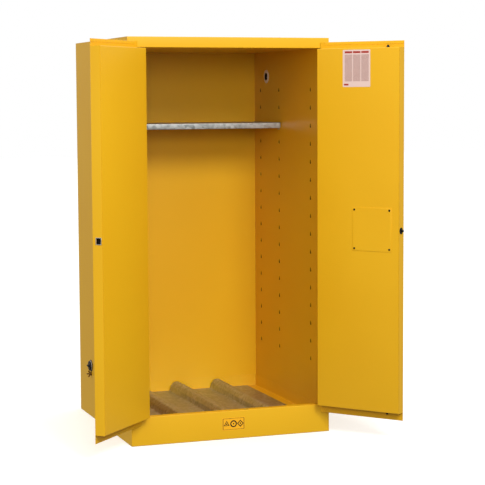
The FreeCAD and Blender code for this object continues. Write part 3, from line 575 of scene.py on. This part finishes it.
def end_tree(tree, shapes, finish):
    """Makes a tree's copies real, gives them their finish and sends them out."""
    real = add_node(tree, "GeometryNodeRealizeInstances", {"Geometry": shapes.outputs[0]})
    coated = add_node(tree, "GeometryNodeSetMaterial", {"Geometry": real.outputs[0], "Material": finish})
    add_node(tree, "NodeGroupOutput", {0: coated.outputs[0]})
    return tree


def row_tree():
    """Geometry Nodes: copies of the mesh, each moved a step and turned about Z from the last."""
    tree, given = new_tree("row", ("Count", "Int"), ("Step", "Vector"), ("Turn", "Float"))
    points = add_node(tree, "GeometryNodeMeshLine", {"Count": given["Count"], "Offset": given["Step"]})
    index = add_node(tree, "GeometryNodeInputIndex")
    angle = add_node(tree, "ShaderNodeMath", {0: index.outputs[0], 1: given["Turn"]}, operation="MULTIPLY")
    turned = add_node(tree, "ShaderNodeCombineXYZ", {"Z": angle.outputs[0]})
    copies = add_node(tree, "GeometryNodeInstanceOnPoints", {
        "Points": points.outputs[0], "Instance": given["Geometry"], "Rotation": turned.outputs[0]})
    return end_tree(tree, copies, given["Finish"])


def grown(tree, solid, **values):
    """The solid after a Geometry Nodes tree with these inputs."""
    made = scratch(solid)
    maker = made.modifiers.new(tree.name, "NODES")
    maker.node_group = tree
    for item in tree.interface.items_tree:
        if item.in_out == "INPUT" and item.name in values:
            maker[item.identifier] = values[item.name]
    return worked(made)


def circle(radius, sides, start=0.0):
    """Points round a circle, in order."""
    return [(radius * math.cos(start + t * math.tau / sides), radius * math.sin(start + t * math.tau / sides))
            for t in range(sides)]


def lathe(profile, sides=64):
    """A closed turned solid about +Z, from (radius, length) points in millimetres."""
    solid = bmesh.new()
    rings = []
    for radius, z in profile:
        if radius == 0:
            rings.append([solid.verts.new((0, 0, z * MM))] * sides)
        else:
            rings.append([solid.verts.new((x, y, z * MM)) for x, y in circle(radius * MM, sides)])
    pairs = list(zip(rings, rings[1:]))
    if profile[0][0] > 0:
        pairs.append((rings[-1], rings[0]))
    for first, second in pairs:
        for t in range(sides):
            u = (t + 1) % sides
            corners = list(dict.fromkeys((first[t], first[u], second[u], second[t])))
            if len(corners) > 2:
                solid.faces.new(corners)
    return tidy(solid)


in_a_row = row_tree()
for side, word in words.items():
    pin_low, pin_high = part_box("hinge_pin_" + word)
    pin = (pin_low + pin_high) / 2
    pitch = (pin_high.z - pin_low.z) / knuckles
    barrel = pitch / 2 - knuckle_gap
    door_y = shut_box(side, "door_skin_" + word)[0].y
    for kind in ("frame", "door"):
        on_door = kind == "door"
        leaf_node = "hinge_" + kind + "_leaf_" + word
        leaf_box = shut_box(side, leaf_node) if on_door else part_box(leaf_node)
        outward = -side if on_door else side
        leaf_end = max((corner.x for corner in leaf_box), key=lambda x: abs(x - pin.x))
        strip_y = (door_y + gauge + 0.05 * MM, door_y + 2 * gauge) if on_door else (front - gauge, front)
        across = sorted((pin.x + outward * strip_start, leaf_end))
        strip = soft_slab((across[0], strip_y[0], pin_low.z), (across[1], strip_y[1], pin_high.z), 0.3 * MM)
        knuckle = lathe([(knuckle_round / MM, 0), (knuckle_bore / MM, 0), (knuckle_bore / MM, barrel / MM),
                         (knuckle_round / MM, barrel / MM)], 20)
        tongue_x = sorted(outward * reach for reach in tongue_reach)
        tongue_y = (strip_y[0] + strip_y[1]) / 2 - pin.y
        tongue = slab((tongue_x[0], tongue_y - gauge / 2, 0), (tongue_x[1], tongue_y + gauge / 2, barrel))
        many = grown(in_a_row, merged(knuckle, tongue), Count=knuckles, Step=(0.0, 0.0, pitch), Turn=0.0,
                     Finish=yellow)
        many.transform(Matrix.Translation((pin.x, pin.y, pin_low.z + on_door * pitch / 2)))
        whole = merged(strip, many)
        yellow_piece("hinge_" + kind + "_" + word, hang(side, whole) if on_door else whole,
                     word + "_door" if on_door else "cabinet", leaf_node)
    rod_solid = round_bar((pin.x, pin.y, pin_low.z), "+Z", pin_high.z - pin_low.z, pin_round, 24)
    caps = [e for e in rod_solid.edges if e.is_manifold and e.calc_face_angle() > 1]
    bmesh.ops.bevel(rod_solid, geom=caps, offset=0.4 * MM, segments=2, profile=0.5, affect="EDGES")
    piece("hinge_rod_" + word, rod_solid, zinc, "cabinet", ["hinge_pin_" + word])

# ---- Vents --------------------------------------------------------------------------------
# A steel collar passes through both walls, low on the left and high on the right. It has a
# flange inside, a woven flame screen in its mouth, a thin nut and a black screwed cap outside.


def weave_tree():
    """Geometry Nodes: wires that wave over and under, shorter towards the edge of a disc."""
    tree, given = new_tree("weave", *((name, "Float") for name in ("Radius", "Pitch", "Wire", "Phase")))
    minus = add_node(tree, "ShaderNodeMath", {0: given["Radius"], 1: -1.0}, operation="MULTIPLY").outputs[0]
    ends = [add_node(tree, "ShaderNodeCombineXYZ", {"X": x}).outputs[0] for x in (minus, given["Radius"])]
    line = add_node(tree, "GeometryNodeCurvePrimitiveLine", {"Start": ends[0], "End": ends[1]})
    fine = add_node(tree, "GeometryNodeResampleCurve", {"Curve": line.outputs[0], "Count": 97})
    spot = add_node(tree, "GeometryNodeInputPosition").outputs[0]
    where = add_node(tree, "ShaderNodeSeparateXYZ", {0: spot})
    cycles = add_node(tree, "ShaderNodeMath", {0: where.outputs["X"], 1: given["Pitch"]}, operation="DIVIDE")
    angle = add_node(tree, "ShaderNodeMath", {0: cycles.outputs[0], 1: math.pi, 2: given["Phase"]},
                     operation="MULTIPLY_ADD")
    wave = add_node(tree, "ShaderNodeMath", {0: angle.outputs[0]}, operation="SINE")
    rise = add_node(tree, "ShaderNodeMath", {0: wave.outputs[0], 1: given["Wire"]}, operation="MULTIPLY")
    lift = add_node(tree, "ShaderNodeCombineXYZ", {"Z": rise.outputs[0]})
    waved = add_node(tree, "GeometryNodeSetPosition", {
        "Geometry": fine.outputs[0], "Offset": lift.outputs[0]})
    section = add_node(tree, "GeometryNodeCurvePrimitiveCircle", {"Resolution": 5, "Radius": given["Wire"]})
    wire = add_node(tree, "GeometryNodeCurveToMesh", {
        "Curve": waved.outputs[0], "Profile Curve": section.outputs[0], "Fill Caps": True})
    span = add_node(tree, "ShaderNodeMath", {0: given["Radius"], 1: given["Pitch"]}, operation="DIVIDE")
    count = add_node(tree, "ShaderNodeMath", {0: span.outputs[0], 1: 2.0, 2: -1.0}, operation="MULTIPLY_ADD")
    first = add_node(tree, "ShaderNodeMath", {0: given["Pitch"], 1: minus}, operation="ADD")
    start = add_node(tree, "ShaderNodeCombineXYZ", {"Y": first.outputs[0]})
    step = add_node(tree, "ShaderNodeCombineXYZ", {"Y": given["Pitch"]})
    rows = add_node(tree, "GeometryNodeMeshLine", {
        "Count": count.outputs[0], "Start Location": start.outputs[0], "Offset": step.outputs[0]})
    share = add_node(tree, "ShaderNodeMath", {0: where.outputs["Y"], 1: given["Radius"]}, operation="DIVIDE")
    square = add_node(tree, "ShaderNodeMath", {0: share.outputs[0], 1: 2.0}, operation="POWER")
    rest = add_node(tree, "ShaderNodeMath", {0: 1.0, 1: square.outputs[0]}, operation="SUBTRACT")
    chord = add_node(tree, "ShaderNodeMath", {0: rest.outputs[0]}, operation="SQRT")
    scale = add_node(tree, "ShaderNodeCombineXYZ", {"X": chord.outputs[0], "Y": 1.0, "Z": 1.0})
    copies = add_node(tree, "GeometryNodeInstanceOnPoints", {
        "Points": rows.outputs[0], "Instance": wire.outputs[0], "Scale": scale.outputs[0]})
    return end_tree(tree, copies, given["Finish"])


def moulded_black():
    """Black moulded nylon: a fine spark-eroded texture about 0.6 mm across, with a low sheen."""
    finish, tree, shader = new_finish("black_moulded_nylon", "0E0E0F", Roughness=0.45, Specular_IOR_Level=0.4)
    grain = patchy_gloss(tree, shader, 0.6 * MM, 2.0, (0.36, 0.55))
    pits = add_node(tree, "ShaderNodeBump", {"Height": grain, "Strength": 0.4, "Distance": 0.05 * MM})
    tree.links.new(pits.outputs[0], shader.inputs["Normal"])
    return finish


def screen_wire_shade_coat():
    """Woven stainless wire coloured near black: painted shade for the dark bore of the vent that it sits in.
    """
    finish, tree, shader = new_finish("stainless_wire_with_painted_shade", "2B2926", Metallic=1.0, Roughness=0.5)
    patchy_gloss(tree, shader, 2 * MM, 1.0, (0.45, 0.6))
    return finish


def silver_paint():
    """Aluminium paint over a turned steel collar: pale and soft, with a fine sparkle."""
    finish, tree, shader = new_finish("aluminium_paint", "E9E2DC", Metallic=0.25, Roughness=0.5)
    patchy_gloss(tree, shader, 0.5 * MM, 1.0, (0.4, 0.6))
    return finish


black = moulded_black()
silver = silver_paint()
screen_wire_shade = screen_wire_shade_coat()
weave = weave_tree()
ribs_round = 24
screen_place = 10 * MM  # from the liner, inside the collar
# the outlines below are (radius, length outwards from the liner), in millimetres
collar_line = [(16, -2.3), (17, -2.5), (28.6, -2.5), (30, -1.6), (30, -0.2), (22, -0.2), (22, 45), (21.4, 45),
               (18.2, 45), (18.2, 8), (16, 8)]
nut_line = [(22.1, 40), (24.9, 40), (25.5, 40.5), (25.5, 42.4), (24.9, 43), (22.1, 43)]
cap_line = [(0, 34), (17, 34), (18, 35), (18, 45.2), (20.4, 45.2), (21, 45.8), (21, 48.4), (20.2, 49.8),
            (19, 50.6), (17.6, 51), (0, 51)]
screens, nuts = [], []
for side, level in ((-1, "low"), (1, "high")):
    centre = middle_of("vent_collar_" + level)
    out = Matrix.Translation((side * side_low.x, centre.y, centre.z)) @ turn_to("+X" if side > 0 else "-X")
    collar = lathe(collar_line)
    collar.transform(out)
    made = piece("vent_collar_piece_" + level, collar, silver, "cabinet",
                 ["vent_collar_" + level])
    # Painted shade: the collar's bore, within 17 mm of its axis, takes the black nylon finish to stand for the
    # shade deep in the vent.
    repaint(made, black, lambda c: math.hypot(c.y - centre.y, c.z - centre.z) < 17 * MM)
    nuts.append(lathe(nut_line, 48))
    nuts[-1].transform(out)
    for quarter in (0, 1):
        wires = grown(weave, bmesh.new(), Radius=18 * MM, Pitch=1.5 * MM, Wire=0.3 * MM,
                      Phase=math.pi * (quarter + 0.5), Finish=screen_wire_shade)
        crossed = Matrix.Rotation(quarter * math.pi / 2, 4, "Z")
        wires.transform(out @ Matrix.Translation((0, 0, screen_place)) @ crossed)
        screens.append(wires)
    rib = soft_slab((20.2 * MM, -0.9 * MM, 45.8 * MM), (21.6 * MM, 0.9 * MM, 49.2 * MM), 0.4 * MM)
    ribs = grown(in_a_row, rib, Count=ribs_round, Step=(0.0, 0.0, 0.0), Turn=math.tau / ribs_round,
                 Finish=black)
    bar = soft_slab((-13 * MM, -3.5 * MM, 50 * MM), (13 * MM, 3.5 * MM, 58 * MM), 1.6 * MM, 4)
    lid = merged(lathe(cap_line), ribs, bar)
    lid.transform(out)
    piece("vent_lid_" + level, lid, black, "cap_" + level, ["vent_cap_" + level])
piece("vent_screens", merged(*screens), screen_wire_shade, "cabinet", ["flame_screens"])
piece("vent_rings", merged(*nuts), black, "cabinet", ["vent_nuts"])

# ---- Earth stud ---------------------------------------------------------------------------
# A turned brass stud with a coarse thread and a cast wing nut, for the bonding wire.


def thread_tree():
    """Geometry Nodes: a ridge wound round a bar."""
    tree, given = new_tree("thread", *((name, "Float") for name in ("Radius", "Pitch", "Length", "Ridge")))
    turns = add_node(tree, "ShaderNodeMath", {0: given["Length"], 1: given["Pitch"]}, operation="DIVIDE")
    helix = add_node(tree, "GeometryNodeCurveSpiral", {
        "Resolution": 20, "Rotations": turns.outputs[0], "Start Radius": given["Radius"],
        "End Radius": given["Radius"], "Height": given["Length"]})
    section = add_node(tree, "GeometryNodeCurvePrimitiveCircle", {"Resolution": 4, "Radius": given["Ridge"]})
    ridge = add_node(tree, "GeometryNodeCurveToMesh", {
        "Curve": helix.outputs[0], "Profile Curve": section.outputs[0], "Fill Caps": True})
    both = add_node(tree, "GeometryNodeJoinGeometry")
    tree.links.new(ridge.outputs[0], both.inputs[0])
    tree.links.new(given["Geometry"], both.inputs[0])
    return end_tree(tree, both, given["Finish"])


def turned_brass():
    """Free-cutting brass off the lathe: warm, with dulled patches from handling."""
    finish, tree, shader = new_finish("turned_brass", "C79A4B", Metallic=1.0, Roughness=0.3)
    stain = patchy_gloss(tree, shader, 5 * MM, 3.0, (0.42, 0.24))
    two_tones(tree, shader, stain, "6A4A1E", "A87E3A")
    return finish


brass = turned_brass()
threaded = thread_tree()
stud_low, stud_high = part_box("earth_stud")
stud = (stud_low + stud_high) / 2
out = Matrix.Translation((stud_high.x, stud.y, stud.z)) @ turn_to("-X")
long = (stud_high.x - stud_low.x) / MM
shank = lathe([(0, 0), (8.4, 0), (9, 0.5), (9, 2.5), (8.4, 3), (2.7, 3), (2.7, long - 0.8), (2, long),
               (0, long)], 32)
shank = grown(threaded, shank, Radius=2.6 * MM, Pitch=1.0 * MM, Length=(long - 2.2) * MM, Ridge=0.38 * MM,
              Finish=brass)
shank.transform(out)
piece("bonding_stud", shank, brass, "cabinet", ["earth_stud"])
hub = lathe([(3.05, 4), (6.2, 4), (6.5, 4.3), (6.3, 9), (5.4, 11), (3.05, 11)], 32)
wing = bmesh.new()
outline = bend_line([(4, 5.2), (13.5, 8), (14.9, 13), (12, 15.8), (7.5, 12.5), (4.5, 10)], 1.6)
faces = []
for y in (-1.3, 1.3):
    faces.append([wing.verts.new((p.x * MM, y * MM, p.y * MM)) for p in outline])
    wing.faces.new(faces[-1])
for index in range(len(outline)):
    after = (index + 1) % len(outline)
    wing.faces.new((faces[0][index], faces[0][after], faces[1][after], faces[1][index]))
tidy(wing)
wing.normal_update()
rims = [e for e in wing.edges if e.calc_face_angle() > 1]
bmesh.ops.bevel(wing, geom=rims, offset=0.5 * MM, segments=2, profile=0.5, affect="EDGES")
wings = grown(in_a_row, wing, Count=2, Step=(0.0, 0.0, 0.0), Turn=math.pi, Finish=brass)
wing_nut = merged(hub, wings)
wing_nut.transform(out @ Matrix.Rotation(math.pi / 2, 4, "Z"))
piece("wing_nut_piece", wing_nut, brass, "wing_nut", ["earth_wing_nut"])

# ---- Levelling feet -----------------------------------------------------------------------
# Four zinc-plated feet: a coned pad on a threaded stud, in a nut welded under a bracket.
for name in foot_names:
    pad_low, pad_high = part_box(name)
    foot = (pad_low + pad_high) / 2
    tall = (pad_high.z - pad_low.z) / MM
    turned = lathe([(0, 0), (19, 0), (20, 0.8), (19.7, 2.2), (16.3, 7.4), (15.2, 8), (4.6, 8),
                    (4.6, tall - 1), (3.8, tall), (0, tall)], 40)
    turned = grown(threaded, turned, Radius=4.55 * MM, Pitch=1.5 * MM, Length=(tall - 2) * MM,
                   Ridge=0.42 * MM, Finish=zinc)
    turned.transform(Matrix.Translation((foot.x, foot.y, pad_low.z)))
    piece(name + "_piece", turned, zinc, name, [name])
piece("foot_nut_set", copy_of("foot_nuts", 0.5 * MM), zinc, "cabinet", ["foot_nuts"])
piece("foot_bracket_set", copy_of("foot_brackets", 0.5 * MM), zinc, "cabinet",
      ["foot_brackets"])

# ---- Latch --------------------------------------------------------------------------------
# Blackened rods and bar with a zinc-plated hub and chassis, inside the right door. Black bushes
# guide the three bullets out of the door. The middle one enters a satin steel frame in the left
# door, with a black moulded cup behind it as painted shade for the hole.


def satin_steel():
    """Brushed steel sheet: brushing lines about 0.5 mm apart along the length."""
    finish, tree, shader = new_finish("satin_steel", "C9CACB", Metallic=1.0, Roughness=0.33)
    spot = add_node(tree, "ShaderNodeTexCoord").outputs["Object"]
    drawn = add_node(tree, "ShaderNodeMapping", {"Vector": spot, "Scale": (1.0, 1.0, 0.05)})
    lines = add_node(tree, "ShaderNodeTexNoise", {
        "Vector": drawn.outputs[0], "Scale": 1 / (0.5 * MM), "Detail": 2.0})
    gloss = add_node(tree, "ShaderNodeMapRange", {
        "Value": lines.outputs["Fac"], "To Min": 0.22, "To Max": 0.45})
    tree.links.new(gloss.outputs[0], shader.inputs["Roughness"])
    return finish


def black_oxide():
    """Blackened steel with an oil film: near black, satin, with slightly worn patches."""
    finish, tree, shader = new_finish("black_oxide_steel", "1B1A19", Metallic=0.8, Roughness=0.4)
    patchy_gloss(tree, shader, 4 * MM, 3.0, (0.32, 0.5))
    return finish


satin = satin_steel()
oxide = black_oxide()
coat_as_drawn(zinc, "latch_chassis", "latch_spacers", "rod_guides", "latch_spring_upper", "latch_spring_lower",
              "latch_hub", "paddle_pin", "strike_plates")
coat_as_drawn(oxide, "latch_rod_upper", "latch_rod_lower", "latch_bar")
piece("strike_surround", copy_of("strike_frame_left", 0.4 * MM), satin, "left_door",
      ["strike_frame_left"])
strike_low, strike_high = shut_box(-1, "strike_frame_left")
# Painted shade: a black cup behind the strike frame stands for the shade in the hole.
shade_cup = tray(strike_low + Vector((-15 * MM, 2 * MM, 2 * MM)), strike_high - Vector((gauge * 2, 2 * MM, 2 * MM)),
           ["+X"], 2 * MM, 1 * MM)
piece("strike_shade_cup", hang(-1, shade_cup), black, "left_door")
piece("bush_set", copy_of("bullet_bushes", 0.4 * MM), black, "right_door",
      ["bullet_bushes"])

# ---- Handle and lock ----------------------------------------------------------------------
# A black paddle in a recessed housing on the outside of the right door, with a chromed
# cylinder lock above it. The paddle and housing are glass-filled nylon mouldings.


def chrome_plate():
    """Polished chrome plate over brass, with faint wiping marks."""
    finish, tree, shader = new_finish("polished_chrome_plate", "D9DADC", Metallic=1.0, Roughness=0.08)
    patchy_gloss(tree, shader, 3 * MM, 3.0, (0.05, 0.14))
    return finish


chrome = chrome_plate()
piece("housing", copy_of("handle_housing", 0.6 * MM, 3), black, "right_door",
      ["handle_housing"])
piece("paddle_moulding", copy_of("handle_paddle", 0.8 * MM, 3), black, "paddle",
      ["handle_paddle"])
piece("lock_cylinder", copy_of("lock_barrel", 0.4 * MM), chrome, "right_door", ["lock_barrel"])
piece("lock_key_plug", copy_of("lock_plug", 0.3 * MM), chrome, "lock", ["lock_plug"])

# ---- Access panel -------------------------------------------------------------------------
# A coated cover plate over the latch, on the door's inner face, held by four cross-recess
# screws with domed heads.
panel_low, panel_high = shut_box(1, "access_panel")
screws_low, screws_high = shut_box(1, "access_screws")
cover = soft_slab(panel_low, panel_high, 0.45 * MM, 3)
head_round = 4.4 * MM
corner = Vector((screws_low.x + head_round, panel_low.y, screws_low.z + head_round))
span = Vector((screws_high.x - head_round, panel_low.y, screws_high.z - head_round)) - corner
holes = [round_bar(corner + Vector((span.x * i, -spare / 2, span.z * j)), "+Y", spare, 2.2 * MM, 24)
         for i in (0, 1) for j in (0, 1)]
yellow_piece("cover_plate", hang(1, cut_out(cover, *holes)), "right_door", "access_panel")
head = lathe([(0, -1.1), (2, -1.1), (2, 0), (head_round / MM, 0), (4.3, 0.9), (3.7, 1.6), (2.6, 2.15),
              (1.3, 2.4), (0, 2.4)], 32)
recess = [(2.3 * MM, 0.45 * MM), (0.45 * MM, 2.3 * MM)]
head = cut_out(head, *(slab((-x, -y, 0.9 * MM), (x, y, 3 * MM)) for x, y in recess))
row = grown(in_a_row, head, Count=2, Step=(span.x, 0.0, 0.0), Turn=0.0, Finish=oxide)
block = grown(in_a_row, row, Count=2, Step=(0.0, -span.z, 0.0), Turn=0.0, Finish=oxide)
upright = Matrix.Rotation(-math.pi / 2, 4, "X")
block.transform(Matrix.Translation((corner.x, panel_high.y, corner.z)) @ upright)
piece("cover_screws", hang(1, block), oxide, "right_door", ["access_screws"])

# ---- Labels -------------------------------------------------------------------------------
# Printed vinyl film: a notice on the door with plain bars where a notice has its words, and a
# strip on the sill with three plain shapes. Neither has any lettering.


def printed_film(name, shade):
    """Gloss-laminated printed vinyl: smooth, with slight waves from being rubbed down."""
    finish, tree, shader = new_finish(name, shade, Roughness=0.3)
    spot = add_node(tree, "ShaderNodeTexCoord").outputs["Object"]
    rub = add_node(tree, "ShaderNodeTexNoise", {"Vector": spot, "Scale": 1 / (18 * MM), "Detail": 1.0})
    flow = add_node(tree, "ShaderNodeBump", {
        "Height": rub.outputs["Fac"], "Strength": 0.2, "Distance": 0.2 * MM})
    tree.links.new(flow.outputs[0], shader.inputs["Normal"])
    return finish


def film_sheet(low, high):
    """A thin film with rounded corners, upright and facing along Y."""
    film = slab(low, high)
    corners = [e for e in film.edges if abs((e.verts[0].co - e.verts[1].co).y) > 1e-5]
    bmesh.ops.bevel(film, geom=corners, offset=3 * MM, segments=4, profile=0.5, affect="EDGES")
    return film


label_low, label_high = shut_box(1, "door_label")
pale = printed_film("pale_vinyl_film", "E3C9C1")
red = printed_film("red_printed_ink", "A83226")
grey = printed_film("brown_grey_printed_ink", "96635A")
piece("notice_film", hang(1, film_sheet(label_low, label_high)), pale, "right_door",
      ["door_label"])
margin = 6 * MM
columns = 3
column = (label_high.x - label_low.x - 2 * margin) / columns
bar_wide = column - 4 * MM
line_pitch = 3.6 * MM
ink = 0.05 * MM


def printed(x, z, wide, high, finish, count=1):
    """Printed bars on the notice, one below the other, from the first one's lower corner."""
    bar = slab((0, 0, 0), (wide, ink, high))
    bars = grown(in_a_row, bar, Count=count, Step=(0.0, 0.0, -line_pitch), Turn=0.0, Finish=finish)
    bars.transform(Matrix.Translation((x, label_high.y, z)))
    return hang(1, bars)


heads, lines = [], []
for index in range(columns):
    x = label_low.x + margin + index * column + 1 * MM
    heads.append(printed(x, label_high.z - 14 * MM, bar_wide, 8 * MM, red))
    lines.append(printed(x, label_high.z - 22 * MM, bar_wide, 1.6 * MM, grey, count=30))
heads.append(printed(label_high.x - 26 * MM, label_low.z + margin, 20 * MM, 7 * MM, red))
piece("notice_headings", merged(*heads), red, "right_door")
piece("notice_lines", merged(*lines), grey, "right_door")

sticker_low, sticker_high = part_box("sill_label")
sticker_film = printed_film("yellow_vinyl_film", "F6B21A")
dark = printed_film("black_printed_ink", "120D08")
piece("sticker_film", film_sheet(sticker_low, sticker_high), sticker_film, "cabinet",
      ["sill_label"])


def ring_of(points, inner, thick):
    """A flat closed band round the outline, drawn inwards by a share."""
    solid = bmesh.new()
    loops = []
    for y in (0, thick):
        for share in (1, inner):
            loops.append([solid.verts.new((x * share, y, z * share)) for x, z in points])
    for first, second in ((0, 1), (1, 3), (3, 2), (2, 0)):
        for index in range(len(points)):
            after = (index + 1) % len(points)
            one, two = loops[first], loops[second]
            solid.faces.new((one[index], one[after], two[after], two[index]))
    return tidy(solid)


middle = middle_of("sill_label")
sign_round, dot_round, sign_pitch = 14.5 * MM, 3.2 * MM, 30 * MM
shapes = []
for index, (sides, start) in enumerate(((3, math.pi / 2), (32, 0), (4, 0))):
    sign = ring_of(circle(sign_round, sides, start), 0.66, ink)
    pair = merged(sign, ring_of(circle(dot_round, 12), 0.05, ink))
    pair.transform(Matrix.Translation((middle.x + (index - 1) * sign_pitch, sticker_low.y - ink, middle.z)))
    shapes.append(pair)
across, up = 47 * MM, 23.5 * MM  # half the border's width and height
border = ring_of([(across, up), (-across, up), (-across, -up), (across, -up)], 0.95, ink)
border.transform(Matrix.Translation((middle.x, sticker_low.y - ink, middle.z)))
piece("sticker_shapes", merged(*shapes, border), dark, "cabinet")

# ---- Floor, light and camera --------------------------------------------------------------
# A plain white studio: a paper floor and a white backdrop that light nothing themselves, a soft
# overhead glow, a large key light high in front, a fill beside the camera and a side light on
# the left. The camera stands a little left of the doors, at a person's eye height.


def staged(name, solid, finish):
    """A piece of the studio that is seen, but doesn't light, darken or mirror in the cabinet."""
    mesh = bpy.data.meshes.new(name)
    solid.to_mesh(mesh)
    solid.free()
    mesh.materials.append(finish)
    made = bpy.data.objects.new(name, mesh)
    bpy.context.scene.collection.objects.link(made)
    made.visible_diffuse = False
    made.visible_glossy = False
    made.visible_shadow = False


ground = bmesh.new()
bmesh.ops.create_grid(ground, x_segments=1, y_segments=1, size=30, matrix=Matrix.Translation((0, 0, -1 * MM)))
paper = new_finish("white_studio_paper", "F4F4F2", Roughness=0.9, Emission_Color=(1, 1, 1, 1),
                   Emission_Strength=0.3)[0]
staged("studio_floor", ground, paper)

dome = bmesh.new()
bmesh.ops.create_uvsphere(dome, u_segments=32, v_segments=16, radius=40)
glow = bpy.data.materials.new("white_backdrop_light")
glow.use_nodes = True
glow.node_tree.nodes.clear()
lit = add_node(glow.node_tree, "ShaderNodeEmission", {"Color": (1, 1, 1, 1), "Strength": 1.0})
add_node(glow.node_tree, "ShaderNodeOutputMaterial", {"Surface": lit.outputs[0]})
staged("studio_backdrop", dome, glow)

world = bpy.data.worlds.new("studio")
bpy.context.scene.world = world
world.use_nodes = True
surround = world.node_tree.nodes["Background"]
surround.inputs["Color"].default_value = (1.0, 1.0, 1.0, 1.0)
height = add_node(world.node_tree, "ShaderNodeSeparateXYZ", {
    0: add_node(world.node_tree, "ShaderNodeTexCoord").outputs["Generated"]})
overhead = add_node(world.node_tree, "ShaderNodeMapRange", {
    "Value": height.outputs["Z"], "From Min": -0.1, "From Max": 0.9, "To Min": 0.22, "To Max": 1.2})
world.node_tree.links.new(overhead.outputs[0], surround.inputs["Strength"])


def soft_light(name, place, aim, size, power):
    lamp = bpy.data.lights.new(name, "AREA")
    lamp.shape = "DISK"
    lamp.size = size
    lamp.energy = power
    made = bpy.data.objects.new(name, lamp)
    toward = (Vector(aim) - Vector(place)).to_track_quat("-Z", "Y").to_matrix().to_4x4()
    made.matrix_world = Matrix.Translation(place) @ toward
    bpy.context.scene.collection.objects.link(made)


soft_light("key", (0.2, -5.6, 4.1), (0.0, -0.3, 0.8), 2.0, 208)
soft_light("side", (-5.5, 1.8, 1.9), (-0.4, 0.0, 0.9), 1.6, 70)
soft_light("fill", (-1.7, -6.3, 2.1), (0.0, -0.3, 0.8), 1.4, 88)

yaw, pitch, roll = 0.3411, -0.0910, -0.0054
view = Vector((math.sin(yaw) * math.cos(pitch), math.cos(yaw) * math.cos(pitch), math.sin(pitch)))
lens = bpy.data.cameras.new("camera")
lens.sensor_width = 36
lens.lens = 118.38
camera = bpy.data.objects.new("camera", lens)
turn = view.to_track_quat("-Z", "Y").to_matrix().to_4x4() @ Matrix.Rotation(roll, 4, "Z")
camera.matrix_world = Matrix.Translation((-2.1337, -6.5753, 1.4093)) @ turn
bpy.context.scene.collection.objects.link(camera)
bpy.context.scene.camera = camera
bpy.context.scene.view_settings.view_transform = "Standard"
